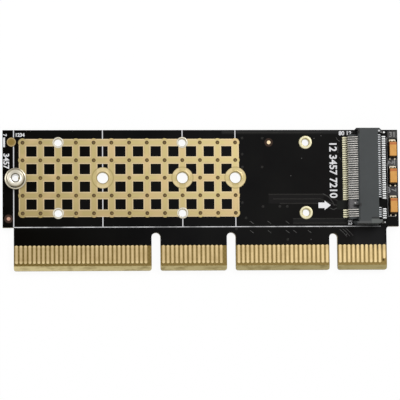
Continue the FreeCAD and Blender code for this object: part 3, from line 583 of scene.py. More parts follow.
gridGold = goldFinish(gridLook)
# the via plugs are dark brown, their own tone and painted shade of their dimples; their lighter core is set
# towards the lower right as painted light
viaBrown = plainFinish("viaPlug", {
    "metallic": 0.5, "roughness": 0.45, "colour": shade(84, 64, 28), "second": shade(64, 47, 18),
    "patchScale": 900.0, **grains["via"]})
viaCore = plainFinish("viaCore", {
    "metallic": 0.5, "roughness": 0.42, "colour": shade(118, 97, 50), "second": shade(98, 78, 38),
    "patchScale": 900.0, **grains["via"]})
dress("front_ground_grid", gridGold)
heatsinkHoles = [(x, y) for x in heatsinkColumns for y in holeRows]

crossings = []
for column in range(gridLook["columns"]):
    for row in range(gridLook["rows"]):
        spot = Vector((place["gridLeft"] + column * place["gridPitch"],
                       place["gridLow"] + row * place["gridPitch"], place["copperTop"]))
        clear = [(spot.xy - Vector(hole)).length - gridLook["clearOfModuleHole"] for hole in moduleHoles]
        clear += [(spot.xy - Vector(hole)).length - gridLook["clearOfHeatsinkHole"] for hole in heatsinkHoles]
        if min(clear) > 0:
            crossings.append(spot)


def studs(points, foot, crown, height, finish, sides=16, base=0.0):
    raised = [Vector(point) + Vector((0, 0, base)) for point in points]
    return grow(studField, {"Foot": foot, "Crown": crown, "Height": height, "Sides": sides, "Finish": finish},
                pointsMesh(raised))


# painted light: each core moves towards the lower right, the lit side of its plug
coreStep = Vector((gridLook["coreShift"], -gridLook["coreShift"], 0.0))
gridVias = joinMeshes("gridVias", [
    studs(crossings, gridLook["landRadius"], gridLook["landRadius"] - 0.05 * mm, gridLook["landHeight"],
          gridGold, 28, -gridLook["landSink"]),
    studs(crossings, gridLook["plugFoot"], gridLook["plugCrown"], gridLook["plugRise"], viaBrown, 20),
    studs([spot + coreStep for spot in crossings], gridLook["coreRadius"], gridLook["coreRadius"] * 0.7,
          gridLook["coreRise"], viaCore, 12)])
addPiece("gridVias", gridVias)
print("grid dressed:", len(crossings), "vias")


# Plated holes: a barrel through the board that turns over onto both faces.
holeLook = {
    "wall": 0.03 * mm, "lip": 0.015 * mm, "foil": 0.05 * mm,
    "frontTurn": 0.06 * mm, "rearTurn": 0.05 * mm, "seat": 0.01 * mm,
    "module": {"radius": 1.28 * mm, "ring": 1.75 * mm, "rear": 1.9 * mm},
    "heatsink": {"radius": 0.9 * mm, "ring": 1.28 * mm, "rear": 1.35 * mm},
    "outer": {"radius": 0.85 * mm, "ring": 1.5 * mm, "rear": 1.5 * mm},
}
outerHoles = [(place["outerX"], y) for y in holeRows]
# painted shade: the rings of the heatsink and outer holes are dark beside the hole, for the shade of its wall
ringSilver = ringedFinish("holeSilver", {
    "metallic": 1.0, "roughness": 0.3, "patchScale": 700.0, "patches": 0.4, "shadow": shade(150, 140, 112),
    "tones": [(0.86, shade(110, 96, 62)), (0.98, shade(196, 190, 172)), (1.16, shade(216, 211, 198)),
              (1.3, shade(112, 100, 70))]}, heatsinkHoles)
ringCream = ringedFinish("holeCream", {
    "metallic": 1.0, "roughness": 0.32, "patchScale": 700.0, "patches": 0.4, "shadow": shade(150, 142, 100),
    "tones": [(0.84, shade(118, 104, 60)), (0.98, shade(196, 188, 148)), (1.3, shade(220, 214, 184)),
              (1.5, shade(128, 118, 82))]}, outerHoles)
barrelBrown = plainFinish("holeBarrel", {
    "metallic": 1.0, "roughness": 0.4, "colour": shade(214, 206, 180), "second": shade(176, 166, 136),
    "patchScale": 800.0, **grains["plated"]})


def liner(size, centre):
    look, top, foot = holeLook, place["copperTop"], place["copperTop"] - 0.6 * holeLook["foil"]
    inner, turn = size["radius"] - look["wall"], look["frontTurn"]
    return turned("liner", [
        (inner, 0.0), (inner, top), (inner + turn, top + look["lip"]),
        (size["ring"] - turn, top + look["lip"]), (size["ring"], top), (size["ring"], foot),
        (size["radius"] + look["seat"], foot), (size["radius"] + look["seat"], look["foil"]),
        (size["rear"], look["foil"]), (size["rear"], look["seat"]), (size["rear"] - look["rearTurn"], 0.0)],
        centre, 44, tube=True)


# The barrel is darker than the ring, so its faces take a second finish.
def twoTone(mesh, ringFinish, wallFinish, reach, centre):
    mesh.materials.append(ringFinish)
    mesh.materials.append(wallFinish)
    for face in mesh.polygons:
        away = (face.center.xy - Vector(centre)).length
        face.material_index = 1 if away < reach and abs(face.normal.z) < 0.6 else 0
    return mesh


def lineHoles(name, kind, centres, ringFinish):
    size = holeLook[kind]
    lined = [twoTone(liner(size, centre), ringFinish, barrelBrown, size["radius"], centre)
             for centre in centres]
    return addPiece(name, joinMeshes(name, lined))


lineHoles("moduleHoleLiners", "module", moduleHoles, gridGold)
lineHoles("heatsinkHoleLiners", "heatsink", heatsinkHoles, ringSilver)
outerLiners = lineHoles("outerHoleLiners", "outer", outerHoles, ringCream)
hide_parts("outer_hole_rings")
print("holes lined")


# The standoff, turned in one piece, with a flange that is soldered to its land.
standoffLook = {
    "thread": 0.8 * mm, "mouth": 1.0 * mm, "face": 1.75 * mm, "boss": 2.1 * mm, "flange": 2.42 * mm,
    "spigot": 1.4 * mm, "step": 0.5 * mm, "soft": 0.08 * mm, "bevel": 0.35 * mm, "rim": 0.05 * mm,
    "pitch": 0.4 * mm, "threadStart": 0.3 * mm, "threadDepth": 0.03 * mm,
}
# painted light and shade: the bore is painted near white for the backdrop seen through it, the mouth dark as
# painted shade, and the boss's bevel darker as painted shade
standoffTin = ringedFinish("standoffTin", {
    "metallic": 1.0, "roughness": 0.28, "patchScale": 400.0, "patches": 0.45, "shadow": shade(150, 142, 120),
    "tones": [(0.8, shade(253, 252, 250)), (0.85, shade(250, 249, 244)), (0.89, shade(80, 72, 52)),
              (0.99, shade(96, 88, 66)), (1.06, shade(216, 211, 198)), (1.6, shade(208, 202, 186)),
              (1.76, shade(186, 179, 160)), (1.9, shade(150, 142, 122)), (2.08, shade(160, 152, 132)),
              (2.18, shade(206, 200, 182)), (2.42, shade(176, 168, 146))]},
    [(place["standoffX"], place["standoffY"])])


def standoffRings(look):
    low, top, foot = standoffLow.z, standoffHigh.z, place["copperTop"]
    soft = look["soft"]
    rings = [(look["thread"], low), (look["spigot"] - soft, low), (look["spigot"], low + soft),
             (look["spigot"], foot), (look["flange"], foot), (look["flange"], foot + look["step"] - soft),
             (look["flange"] - soft, foot + look["step"]), (look["boss"] + soft, foot + look["step"]),
             (look["boss"], foot + look["step"] + soft), (look["boss"], top - look["bevel"]),
             (look["face"] + look["rim"], top - soft * 0.4), (look["face"] - soft, top),
             (look["mouth"] + soft, top), (look["mouth"], top - soft)]
    # the thread runs as fine rings down the bore
    height = top - look["threadStart"]
    while height > low + look["pitch"]:
        rings += [(look["thread"], height),
                  (look["thread"] + look["threadDepth"], height - look["pitch"] / 2)]
        height -= look["pitch"]
    return rings


standoff = addPiece("turnedStandoff", turned("turnedStandoff", standoffRings(standoffLook),
                                             (place["standoffX"], place["standoffY"]), 64, tube=True),
                    [standoffTin])
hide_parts("module_standoff")
print("standoff turned")


# Edge contacts: rounded gold bars, worn along their length, with painted highlights at both ends,
# painted shade along their sides and painted light towards the right.
contactLook = {
    "width": 0.7 * mm, "length": place["contactHigh"] - place["contactLow"], "foil": 0.05 * mm,
    "corner": 0.32 * mm, "shorter": 0.9 * mm, "lowTip": 0.7 * mm, "highTip": 0.6 * mm,
    "left": shade(181, 160, 120), "right": shade(224, 198, 146), "tip": shade(216, 196, 148),
    "side": shade(140, 118, 72), "roughness": 0.3,
}


def contactFinish(look):
    made, tree, shader, where = startMaterial("contactGold", 1.0, look["roughness"])
    split = splitAxes(tree, where)
    away = awayFromLines(tree, split[0], place["firstPin"], place["pinPitch"])
    along = stretch(tree, split[0], boardLow.x, boardHigh.x, 0.0, 1.0)
    # painted light: the gold is painted lighter towards the right
    gold = blendColour(tree, along, look["left"], look["right"])
    cloud = noise(tree, where, 420.0, 4.0)
    # painted shade: each contact is darker along its sides
    gold = blendColour(tree, stretch(tree, away, 0.12 * mm, 0.36 * mm, 0.0, 0.75), gold, look["side"])
    # painted highlight: both rounded ends are brighter
    low = stretch(tree, split[1], place["contactLow"], place["contactLow"] + look["lowTip"], 0.8, 0.0)
    high = stretch(tree, split[1], place["contactHigh"] - look["highTip"], place["contactHigh"], 0.0, 0.7)
    gold = blendColour(tree, sums(tree, "MAXIMUM", low, high), gold, look["tip"])
    gold = blendColour(tree, stretch(tree, cloud, 0.45, 0.8, 0.0, 0.4), gold, look["side"])
    tree.links.new(gold, shader.inputs["Base Color"])
    # wear from mating draws fine lines along each contact
    combed = addNode(tree, "ShaderNodeMapping", {"Vector": where, "Scale": (9000.0, 500.0, 500.0)})
    scuffs = noise(tree, combed.outputs[0], 1.0, 2.0)
    tree.links.new(stretch(tree, scuffs, 0.2, 0.8, look["roughness"] - 0.06, look["roughness"] + 0.1),
                   shader.inputs["Roughness"])
    bumpBy(tree, shader, scuffs, 0.12, 0.02 * mm)
    return made


contactGold = contactFinish(contactLook)
pinRanges = [(1, 11), (12, 32), (36, 49), (53, 82)]
shortFront = 1
shortRear = (17, 31, 48, 81)


def pinX(pin):  # the key after pin 11 takes the place of two contacts
    return place["firstPin"] - (pin - 1 + (2 if pin > 11 else 0)) * place["pinPitch"]


def contactRow(first, last, short, base):
    look = contactLook
    middle = (place["contactLow"] + place["contactHigh"]) / 2
    return grow(barRow, {
        "First": (pinX(first), middle, base), "Step": (-place["pinPitch"], 0.0, 0.0),
        "Count": last - first + 1, "Width": look["width"], "Length": look["length"],
        "Thickness": look["foil"], "Corner": look["corner"], "Top Scale": 1.0, "Short Bar": short - first,
        "Short Length": look["length"] - look["shorter"], "Finish": contactGold})


# A range with several short pins is made as rows that meet at each of them.
def rearRange(first, last):
    rows, start = [], first
    for pin in [pin for pin in shortRear if first <= pin <= last] + [last + 1]:
        stop = min(pin, last)
        rows.append(contactRow(start, stop, pin, 0.0))
        start = stop + 1
        if start > last:
            break
    return joinMeshes("rearPins", rows)


for first, last in pinRanges:
    ending = f"contacts_{first}_to_{last}"
    frontRow = contactRow(first, last, shortFront, place["boardTop"])
    frontPins = addPiece(f"frontPins{first}to{last}", frontRow)
    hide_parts("front_" + ending)
    rearPins = addPiece(f"rearPins{first}to{last}", rearRange(first, last))
    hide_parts("rear_" + ending)
print("edge contacts plated")


# The module socket: one moulding with sprung contacts in its two combs, soldered to two rows of pads.
socketLook = {
    "edge": 0.05 * mm, "pitch": 0.5 * mm, "oddFirst": 9.25 * mm, "evenFirst": 9.0 * mm,
    "aboveKey": 29, "oddAfterKey": 5, "evenAfterKey": 4,
    # ledges and the key block differ in tone, recesses and a groove are painted black as painted shade,
    # and two small spots are painted highlights: left, right, low, high, tone and strength
    "plasticTonesAndPaintedLight": [
        ((78.3, 81.4, -18.8, -17.85), shade(78, 81, 79), 1.0),
        ((75.2, 78.3, -19.1, -18.3), shade(64, 65, 65), 0.9),
        # painted shade: a black groove
        ((78.3, 80.2, -17.75, -17.4), shade(2, 3, 2), 1.0),
        # painted highlight on the upper wing
        ((80.12, 80.46, 1.95, 2.3, 0.22), shade(214, 216, 216), 1.0),
        # painted shade: black in the recess by the upper wing
        ((74.1, 75.9, 1.5, 2.7), shade(0, 0, 0), 0.95),
        ((73.4, 75.3, -15.3, -13.3), shade(84, 82, 83), 0.9),
        # painted shade: black in the recess by the key
        ((74.5, 76.1, -15.0, -14.25), shade(0, 0, 0), 0.9),
        # painted highlight: a small bright spot by the key
        ((74.72, 74.95, -14.2, -13.97), shade(210, 210, 206), 1.0),
    ],
    # tone of the contacts along their length, as strips across both rows; the dark strips at the bends by
    # the feet are painted shade
    "contactTonesAndShade": [
        ((79.6, 81.1, -20.0, 3.0), shade(208, 213, 218), 0.7),
        # painted shade at the bend behind the rear feet
        ((81.1, 81.5, -20.0, 3.0), shade(44, 42, 40), 0.9),
        ((81.5, 83.0, -20.0, 3.0), shade(236, 238, 240), 0.9),
        ((72.0, 73.4, -20.0, 3.0), shade(222, 217, 190), 0.8),
        # painted shade at the heel of the front feet
        ((73.4, 73.62, -20.0, 3.0), shade(70, 66, 62), 0.5),
    ],
}
socketPlastic = plainFinish("socketPlastic", {
    "metallic": 0.0, "roughness": 0.42, "specular": 0.38, "colour": shade(47, 51, 52),
    "second": shade(39, 43, 44), "zones": socketLook["plasticTonesAndPaintedLight"],
    "patchScale": 180.0, **grains["moulded"]})
contactTin = plainFinish("contactTin", {
    "metallic": 1.0, "roughness": 0.32, "colour": shade(192, 189, 184), "second": shade(150, 147, 142),
    "zones": socketLook["contactTonesAndShade"], "patchScale": 800.0, **grains["sprung"]})
solderTin = plainFinish("solderTin", {
    "metallic": 1.0, "roughness": 0.26, "colour": shade(234, 235, 234), "second": shade(198, 199, 198),
    "patchScale": 1100.0, **grains["solder"]})
solderCream = plainFinish("solderCream", {
    "metallic": 1.0, "roughness": 0.3, "colour": shade(232, 228, 200), "second": shade(206, 201, 168),
    "patchScale": 500.0, **grains["padSolder"]})
tabTin = plainFinish("tabTin", {
    "metallic": 0.7, "roughness": 0.4, "colour": shade(66, 65, 62), "second": shade(44, 43, 41),
    "patchScale": 900.0, **grains["solder"]})


# The housing and its cover are one moulding, so they are united before their edges are rounded.
def unite(name, first, second):
    parts = []
    for node in (first, second):
        part = bpy.data.objects.new(node, mergedCopy(node, node))
        bpy.context.collection.objects.link(part)
        parts.append(part)
    union = parts[0].modifiers.new("union", "BOOLEAN")
    union.operation = "UNION"
    union.solver = "EXACT"
    union.object = parts[1]
    made = bpy.data.meshes.new_from_object(parts[0].evaluated_get(bpy.context.evaluated_depsgraph_get()))
    made.name = name
    for part in parts:
        bpy.data.objects.remove(part)
    cleanMesh(made, made)
    made.materials.clear()
    return made


socketBody = unite("socketHousing", "socket_housing", "socket_cover")
moulding = addPiece("socketHousing", socketBody, [socketPlastic])
roundEdges(moulding, socketLook["edge"])
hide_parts("socket_housing", "socket_cover")
dress("socket_lower_contacts", contactTin)
dress("socket_upper_contacts", contactTin)
dress("socket_solder_tabs", tabTin)


# Two runs of pins with the key between them; the odd row is rear, the even row front.
def pinRuns(first, afterKey):
    above = socketLook["aboveKey"]
    return [(place["socketY"] - first, afterKey),
            (place["socketY"] + first - (above - 1) * socketLook["pitch"], above)]


solderLook = {
    "frontFeet": place["socketX"] - 4.54 * mm, "rearFeet": place["socketX"] + 4.48 * mm,
    # size along the row, size across it, height, and the scale of the top
    "frontPad": (0.38 * mm, 0.86 * mm, 0.05 * mm, 1.0), "rearPad": (0.34 * mm, 0.8 * mm, 0.05 * mm, 1.0),
    "frontFillet": (0.4 * mm, 0.74 * mm, 0.18 * mm, 0.75),
    "rearFillet": (0.33 * mm, 0.66 * mm, 0.2 * mm, 0.7),
    # loose dots: places from the grid's corner, foot, crown and sides
    "dots": [([(81.23, 2.31), (81.88, -18.27)], 0.2 * mm, 0.13 * mm, 14),
             ([(81.96, 2.26)], 0.29 * mm, 0.2 * mm, 16)],
    "dotRise": 0.1 * mm, "dotHeight": 0.2 * mm,
}


def solderRow(kind, x, first, afterKey, finish):
    width, length, height, topScale = solderLook[kind]
    rows = []
    for start, count in pinRuns(first, afterKey):
        rows.append(grow(barRow, {
            "First": (x, start, place["boardTop"]), "Step": (0.0, socketLook["pitch"], 0.0), "Count": count,
            "Width": length, "Length": width, "Thickness": height, "Corner": width * 0.3,
            "Top Scale": topScale, "Short Bar": -1, "Short Length": width, "Finish": finish}))
    return joinMeshes(kind, rows)


solderParts = []
for part in ("Pad", "Fillet"):
    solderParts.append(solderRow("front" + part, solderLook["frontFeet"], socketLook["evenFirst"],
                                 socketLook["evenAfterKey"], solderCream))
    solderParts.append(solderRow("rear" + part, solderLook["rearFeet"], socketLook["oddFirst"],
                                 socketLook["oddAfterKey"], solderTin))
for spots, foot, crown, sides in solderLook["dots"]:
    solderParts.append(studs([fromGrid(x, y, place["boardTop"] + solderLook["dotRise"]) for x, y in spots],
                             foot, crown, solderLook["dotHeight"], solderTin, sides))
addPiece("socketSolder", joinMeshes("socketSolder", solderParts))
print("socket dressed")


# Moulded capacitors, with solder showing at both ends.
capacitorLook = {
    "edge": 0.12 * mm, "amber": shade(206, 150, 74), "amberDeep": shade(192, 136, 62),
    "band": shade(168, 82, 40), "bandMiddle": 0.42 * mm, "bandHalf": 0.26 * mm, "bandLow": 1.55 * mm,
    "shaded": shade(66, 38, 10),
    "padWidth": 1.72 * mm, "padLength": 0.62 * mm, "padAway": 0.36 * mm, "padHeight": 0.3 * mm,
    "padCorner": 0.24 * mm, "padTop": 0.86,
    "eye": 0.19 * mm, "eyeAside": 0.4 * mm, "eyeAway": 0.24 * mm, "eyeHeight": 0.03 * mm,
    "dropAside": 0.55 * mm, "dropAway": 0.5 * mm, "dropRise": 0.02 * mm,
    "dropFoot": 0.22 * mm, "dropCrown": 0.15 * mm, "dropHeight": 0.08 * mm,
}
capacitors = ("one", "two", "three")


def capacitorFinish(look):
    made, tree, shader, where = startMaterial("tantalumMould", 0.0, 0.5, 0.35)
    split = splitAxes(tree, where)
    cloud = noise(tree, where, 700.0, 4.0)
    amber = blendColour(tree, stretch(tree, cloud, 0.35, 0.7, 0.0, 1.0), look["amber"], look["amberDeep"])
    # the marked end carries a redder band; bodies sit at three places along Y
    band = None
    for count in capacitors:
        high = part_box("capacitor_body_" + count)[1]
        here = sums(tree, "LESS_THAN", apart(tree, split[1], high.y - look["bandMiddle"]), look["bandHalf"])
        band = keepBest(tree, "MAXIMUM", band, here)
    top = sums(tree, "GREATER_THAN", split[2], place["boardTop"] + look["bandLow"])
    band = times(tree, times(tree, band, top), 0.75)
    amber = blendColour(tree, band, amber, look["band"])
    facing = splitAxes(tree, addNode(tree, "ShaderNodeNewGeometry").outputs["Normal"])
    for axis in (0, 1):  # the sides towards the tongue and the socket lie in shade
        turnedAway = stretch(tree, facing[axis], -0.9, -0.5, 0.92, 0.0)
        amber = blendColour(tree, turnedAway, amber, look["shaded"])
    tree.links.new(amber, shader.inputs["Base Color"])
    bumpBy(tree, shader, noise(tree, where, 5000.0, 2.0), 0.25, 0.02 * mm)
    return made


tantalum = capacitorFinish(capacitorLook)
# painted shade: the capacitor terminals are painted dark brown for the shade they lie in; the eyes on each
# pad share this finish
darkTerminal = plainFinish("darkTerminal", {
    "metallic": 0.6, "roughness": 0.4, "colour": shade(70, 50, 24), "second": shade(46, 32, 14),
    "patchScale": 900.0, **grains["solder"]})
padCream = plainFinish("padCream", {
    "metallic": 1.0, "roughness": 0.3, "colour": shade(222, 212, 190), "second": shade(176, 164, 140),
    "patchScale": 1100.0, **grains["solder"]})


def pairAcross(x, aside, y, z):
    return [Vector((x + side * aside, y, z)) for side in (-1, 1)]


# The solder of one capacitor: a pad with two eyes at its marked end, two drops at the other.
def capacitorSolder(look, low, high):
    x, base = ((low + high) / 2).x, place["boardTop"]
    pad = grow(barRow, {
        "First": (x, high.y + look["padAway"], base), "Step": (0.0, 1.0 * mm, 0.0), "Count": 1,
        "Width": look["padWidth"], "Length": look["padLength"], "Thickness": look["padHeight"],
        "Corner": look["padCorner"], "Top Scale": look["padTop"], "Short Bar": -1,
        "Short Length": look["padLength"], "Finish": padCream})
    eyes = pairAcross(x, look["eyeAside"], high.y + look["eyeAway"], base + look["padHeight"])
    drops = pairAcross(x, look["dropAside"], low.y - look["dropAway"], base + look["dropRise"])
    return [pad, studs(eyes, look["eye"], look["eye"] * 0.9, look["eyeHeight"], darkTerminal, 14),
            studs(drops, look["dropFoot"], look["dropCrown"], look["dropHeight"], padCream, 14)]


padMeshes = []
for count in capacitors:
    node = "capacitor_body_" + count
    name = "capacitorBody" + count.title()
    piece = addPiece(name, mergedCopy(name, node), [tantalum])
    roundEdges(piece, capacitorLook["edge"], 3)
    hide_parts(node)
    dress("capacitor_terminals_" + count, darkTerminal)
    padMeshes += capacitorSolder(capacitorLook, *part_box(node))
addPiece("capacitorPads", joinMeshes("capacitorPads", padMeshes))
print("capacitors dressed")


# Marks, small pads and the printed lines.
markLook = {
    "bareRing": 0.95 * mm, "ringStep": 0.02 * mm, "ringHeight": 0.006 * mm,
    "fiducials": [(-3.15, -17.2), (55.65, 0.0)],  # millimetres from the grid's corner
}
fiducialCopper = plainFinish("fiducialCopper", {
    "metallic": 1.0, "roughness": 0.38, "colour": shade(176, 138, 120), "second": shade(148, 112, 96),
    "zones": [((50.0, 60.0, -3.0, 3.0), shade(212, 192, 158), 1.0)],
    "patchScale": 900.0, **grains["plated"]})
roundPadSpot = [sum(pair) / 2 for pair in zip(*(corner.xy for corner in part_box("round_pad")))]
roundPadGold = ringedFinish("roundPadGold", {
    "metallic": 1.0, "roughness": 0.36, "patchScale": 600.0, "patches": 0.6, "shadow": shade(120, 98, 50),
    "tones": [(0.3, shade(124, 103, 54)), (0.78, shade(134, 112, 66)), (0.92, shade(178, 158, 118)),
              (1.03, shade(100, 84, 54))]}, [roundPadSpot])
bareBrown = plainFinish("bareRing", {
    "metallic": 0.0, "roughness": 0.5, "specular": 0.12, "colour": shade(58, 40, 30),
    "second": shade(42, 29, 22), "patchScale": 900.0, **grains["bare"]})
inkWhite = plainFinish("inkWhite", {
    "metallic": 0.0, "roughness": 0.55, "colour": shade(222, 222, 224), "second": shade(200, 200, 202),
    "patchScale": 1400.0, **grains["ink"]})
dress("fiducials", fiducialCopper)
dress("round_pad", roundPadGold)


# Print lies thinner than its screen: only the middle of each upright line and the upper
# half of the line along the tongue took ink, and that line is worn.
legendLook = {
    "ink": shade(222, 222, 224), "blank": shade(14, 14, 13), "roughness": 0.55, "specular": 0.3,
    "uprights": (0.0, 20.0, 38.0, 50.0), "uprightHalf": 0.11 * mm, "uprightFoot": 0.14 * mm,
    "uprightInk": 0.78, "shoulder": 0.14 * mm, "tongueUnder": 0.02 * mm, "tongueOver": 0.15 * mm,
    "fadeFrom": 74.8, "fadeLength": 0.5 * mm, "fadeTo": 0.45, "leastInk": 0.35, "mostInk": 0.95,
    "fullInk": (60.0, 72.0, -16.0, -12.5),
}


def legendFinish(look):
    made, tree, shader, where = startMaterial("legendInk", 0.0, look["roughness"], look["specular"])
    split = splitAxes(tree, where)
    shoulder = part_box("front_legend")[0].y + look["shoulder"]
    nearest = None
    for away in look["uprights"]:
        nearest = keepBest(tree, "MINIMUM", nearest, apart(tree, split[0], lineX + away * mm))
    upright = times(tree, sums(tree, "LESS_THAN", nearest, look["uprightHalf"]),
                    sums(tree, "GREATER_THAN", split[1], shoulder + look["uprightFoot"]))
    worn = stretch(tree, noise(tree, where, 330.0, 3.0), 0.36, 0.6, look["leastInk"], look["mostInk"])
    farEnd = fromGrid(look["fadeFrom"], 0.0).x
    fade = stretch(tree, split[0], farEnd, farEnd + look["fadeLength"], 1.0, look["fadeTo"])
    worn = times(tree, worn, fade)
    along = times(tree, sums(tree, "GREATER_THAN", split[1], shoulder - look["tongueUnder"]),
                  sums(tree, "LESS_THAN", split[1], shoulder + look["tongueOver"]))
    inked = sums(tree, "MAXIMUM", times(tree, upright, look["uprightInk"]), times(tree, along, worn))
    inked = sums(tree, "MAXIMUM", inked, zone(tree, split, *look["fullInk"]))
    tree.links.new(blendColour(tree, inked, look["blank"], look["ink"]), shader.inputs["Base Color"])
    bumpBy(tree, shader, noise(tree, where, 5000.0, 2.0), 0.3, 0.01 * mm)
    return made


dress("front_legend", legendFinish(legendLook))
fiducialSpots = [fromGrid(x, y, place["boardTop"]) for x, y in markLook["fiducials"]]
fiducialRings = studs(fiducialSpots, markLook["bareRing"], markLook["bareRing"] - markLook["ringStep"],
                      markLook["ringHeight"], bareBrown, 36)
addPiece("fiducialRings", fiducialRings)


# Tracks stand up under the mask; the fine ones and some vias catch the light.
trackLook = {
    "height": 0.03 * mm, "wide": 0.3 * mm, "fine": 0.13 * mm, "fineHeight": 1.6,
    "dotFoot": 0.3 * mm, "dotCrown": 0.2 * mm, "speck": 0.13 * mm, "speckCrown": 0.6, "dotSides": 14,
    # places in millimetres from the grid's corner
    "widePaths": [
        [(55.5, -11.85), (67.8, -11.85), (71.2, -13.3)], [(56.5, -12.9), (67.2, -12.9), (71.0, -14.4)],
        [(58.0, -13.9), (66.6, -13.9), (70.4, -15.4)], [(61.0, -17.4), (73.4, -17.4)],
        [(61.0, -18.4), (73.4, -18.4)], [(45.6, 2.2), (68.0, 2.2)],
    ],
    "stubs": [(51.2, -17.9), (55.2, -17.9), (59.3, -17.9), (51.2, -20.0), (55.2, -20.0), (59.3, -20.0),
              (61.0, -20.0), (64.3, -20.0)],
    "finePaths": [
        [(67.8, -11.7), (68.7, -12.1), (69.5, -12.8), (70.1, -13.7), (70.4, -14.4)],
        [(69.5, -15.1), (70.3, -15.3), (71.0, -15.0)], [(71.0, 1.1), (71.4, 0.5), (71.9, 0.2)],
        [(71.4, -0.8), (71.4, -2.4)], [(71.7, -3.4), (72.1, -4.0)],
    ],
    "tentedVias": [(49.6, 1.0), (54.2, 0.95), (49.6, -2.7), (49.6, -5.6), (54.1, -5.6), (49.5, -13.7),
                   (54.2, -14.6), (58.0, -14.6), (59.7, -14.6), (50.3, -17.2), (48.1, -19.7), (59.7, -22.1)],
    "litVias": [(66.0, 0.9), (67.6, 1.5), (63.1, -3.65), (60.6, -7.6), (65.0, -22.1), (67.0, -19.4),
                (73.1, -21.0), (82.0, -23.0), (80.2, -24.2)],
}
trackFinish = plainFinish("maskedTrack", {
    "metallic": 0.0, "roughness": 0.4, "specular": 0.12, "colour": shade(34, 33, 31),
    "second": shade(26, 25, 23), "patchScale": 300.0, **grains["mask"]})
trackLight = plainFinish("litTrack", {
    "metallic": 0.0, "roughness": 0.4, "specular": 0.2, "colour": shade(76, 75, 74),
    "second": shade(50, 49, 48), "patchScale": 1500.0, **grains["mask"]})


# Strips on the board that follow paths stated in millimetres from the grid's corner.
def stripMesh(paths, width, height, finish):
    spots, edges = [], []
    for path in paths:
        for step, (x, y) in enumerate(path):
            if step:
                edges.append((len(spots) - 1, len(spots)))
            spots.append(fromGrid(x, y, place["boardTop"]))
    return grow(trackStrip, {"Width": width, "Height": height, "Finish": finish}, pointsMesh(spots, edges))


def viaDots(spots, foot, crown, finish):
    raised = [fromGrid(x, y, place["boardTop"]) for x, y in spots]
    return studs(raised, foot, crown, trackLook["height"], finish, trackLook["dotSides"])


finePaths = [[(x, y), (x + 0.8, y - 0.6)] for x, y in trackLook["stubs"]] + trackLook["finePaths"]
for bend in range(3):  # a bundle of fine tracks curls towards the tongue's last contacts
    finePaths.append([(71.5 + 0.7 * bend + 0.42 * step, -19.8 + 0.1 * bend - 0.3 * step - 0.03 * step * step)
                      for step in range(5)])
trackMeshes = [
    stripMesh(trackLook["widePaths"], trackLook["wide"], trackLook["height"], trackFinish),
    stripMesh(finePaths, trackLook["fine"], trackLook["height"] * trackLook["fineHeight"], trackLight),
    viaDots(trackLook["tentedVias"], trackLook["dotFoot"], trackLook["dotCrown"], trackFinish),
    viaDots(trackLook["litVias"], trackLook["speck"], trackLook["speck"] * trackLook["speckCrown"],
            trackLight)]
addPiece("maskedTracks", joinMeshes("maskedTracks", trackMeshes))
print("tracks and marks laid")


inkGrey = plainFinish("inkGrey", {
    "metallic": 0.0, "roughness": 0.55, "colour": shade(150, 149, 148), "second": shade(104, 103, 103),
    "patchScale": 1400.0, **grains["ink"]})
# Printed numbers and lines, placed in millimetres from the grid's corner.
printLook = {
    "rise": 0.012 * mm, "depth": 0.01 * mm, "sizePerCap": 1.35, "lineHeight": 0.024 * mm,
    # words of plain numbers, place, cap height, turn, weight and ink
    "numbers": [
        ("12 3457 7210", 70.2, -6.25, 1.72, -90, 0.055, inkWhite),
        ("1234", -0.6, 1.72, 0.8, 0, 0.04, inkWhite),
        ("7", -4.0, 1.75, 0.8, -90, 0.04, inkWhite), ("3457", -3.72, -4.15, 1.3, -90, 0.05, inkWhite),
        ("80 12", 73.1, 2.03, 0.95, 0, 0.045, inkWhite), ("12", 73.95, -18.25, 0.85, -90, 0.04, inkWhite),
        ("31", 83.9, 1.75, 1.2, 0, 0.02, inkGrey), ("2", 83.4, -4.6, 1.25, -90, 0.03, inkGrey),
        ("1", 84.3, -4.6, 1.25, 0, 0.03, inkGrey), ("3", 82.95, -11.0, 1.25, 0, 0.03, inkGrey),
        ("7", 84.0, -10.9, 1.1, -90, 0.03, inkGrey),
    ],
    # one long line beside the capacitors with a short return, and a bar beside the round pad
    "lines": [
        ([(82.64, 1.1), (82.64, -16.9)], 0.14 * mm, inkGrey),
        ([(82.64, -16.9), (84.4, -16.9)], 0.14 * mm, inkGrey),
        ([(-4.14, 1.2), (-4.14, -1.0)], 0.46 * mm, inkWhite),
    ],
}


def numberMesh(words, x, y, height, turn, weight, ink):
    curve = bpy.data.curves.new("number", "FONT")
    curve.body = words
    curve.align_x = "CENTER"
    curve.align_y = "CENTER"
    curve.size = height * printLook["sizePerCap"]
    curve.offset = weight
    curve.extrude = printLook["depth"] / mm / 2
    holder = bpy.data.objects.new("number", curve)
    bpy.context.collection.objects.link(holder)
    mesh = bpy.data.meshes.new_from_object(holder.evaluated_get(bpy.context.evaluated_depsgraph_get()))
    bpy.data.objects.remove(holder)
    spot = fromGrid(x, y, place["boardTop"] + printLook["rise"])
    facing = Matrix.Rotation(math.radians(turn), 4, "Z")
    mesh.transform(Matrix.Translation(spot) @ facing @ Matrix.Scale(mm, 4))
    mesh.materials.clear()
    mesh.materials.append(ink)
    return mesh


numberMeshes = [numberMesh(*row) for row in printLook["numbers"]]
inkLines = [stripMesh([ends], width, printLook["lineHeight"], ink) for ends, width, ink in printLook["lines"]]
addPiece("printedNumbers", joinMeshes("printedNumbers", numberMeshes + inkLines))
print("numbers printed")


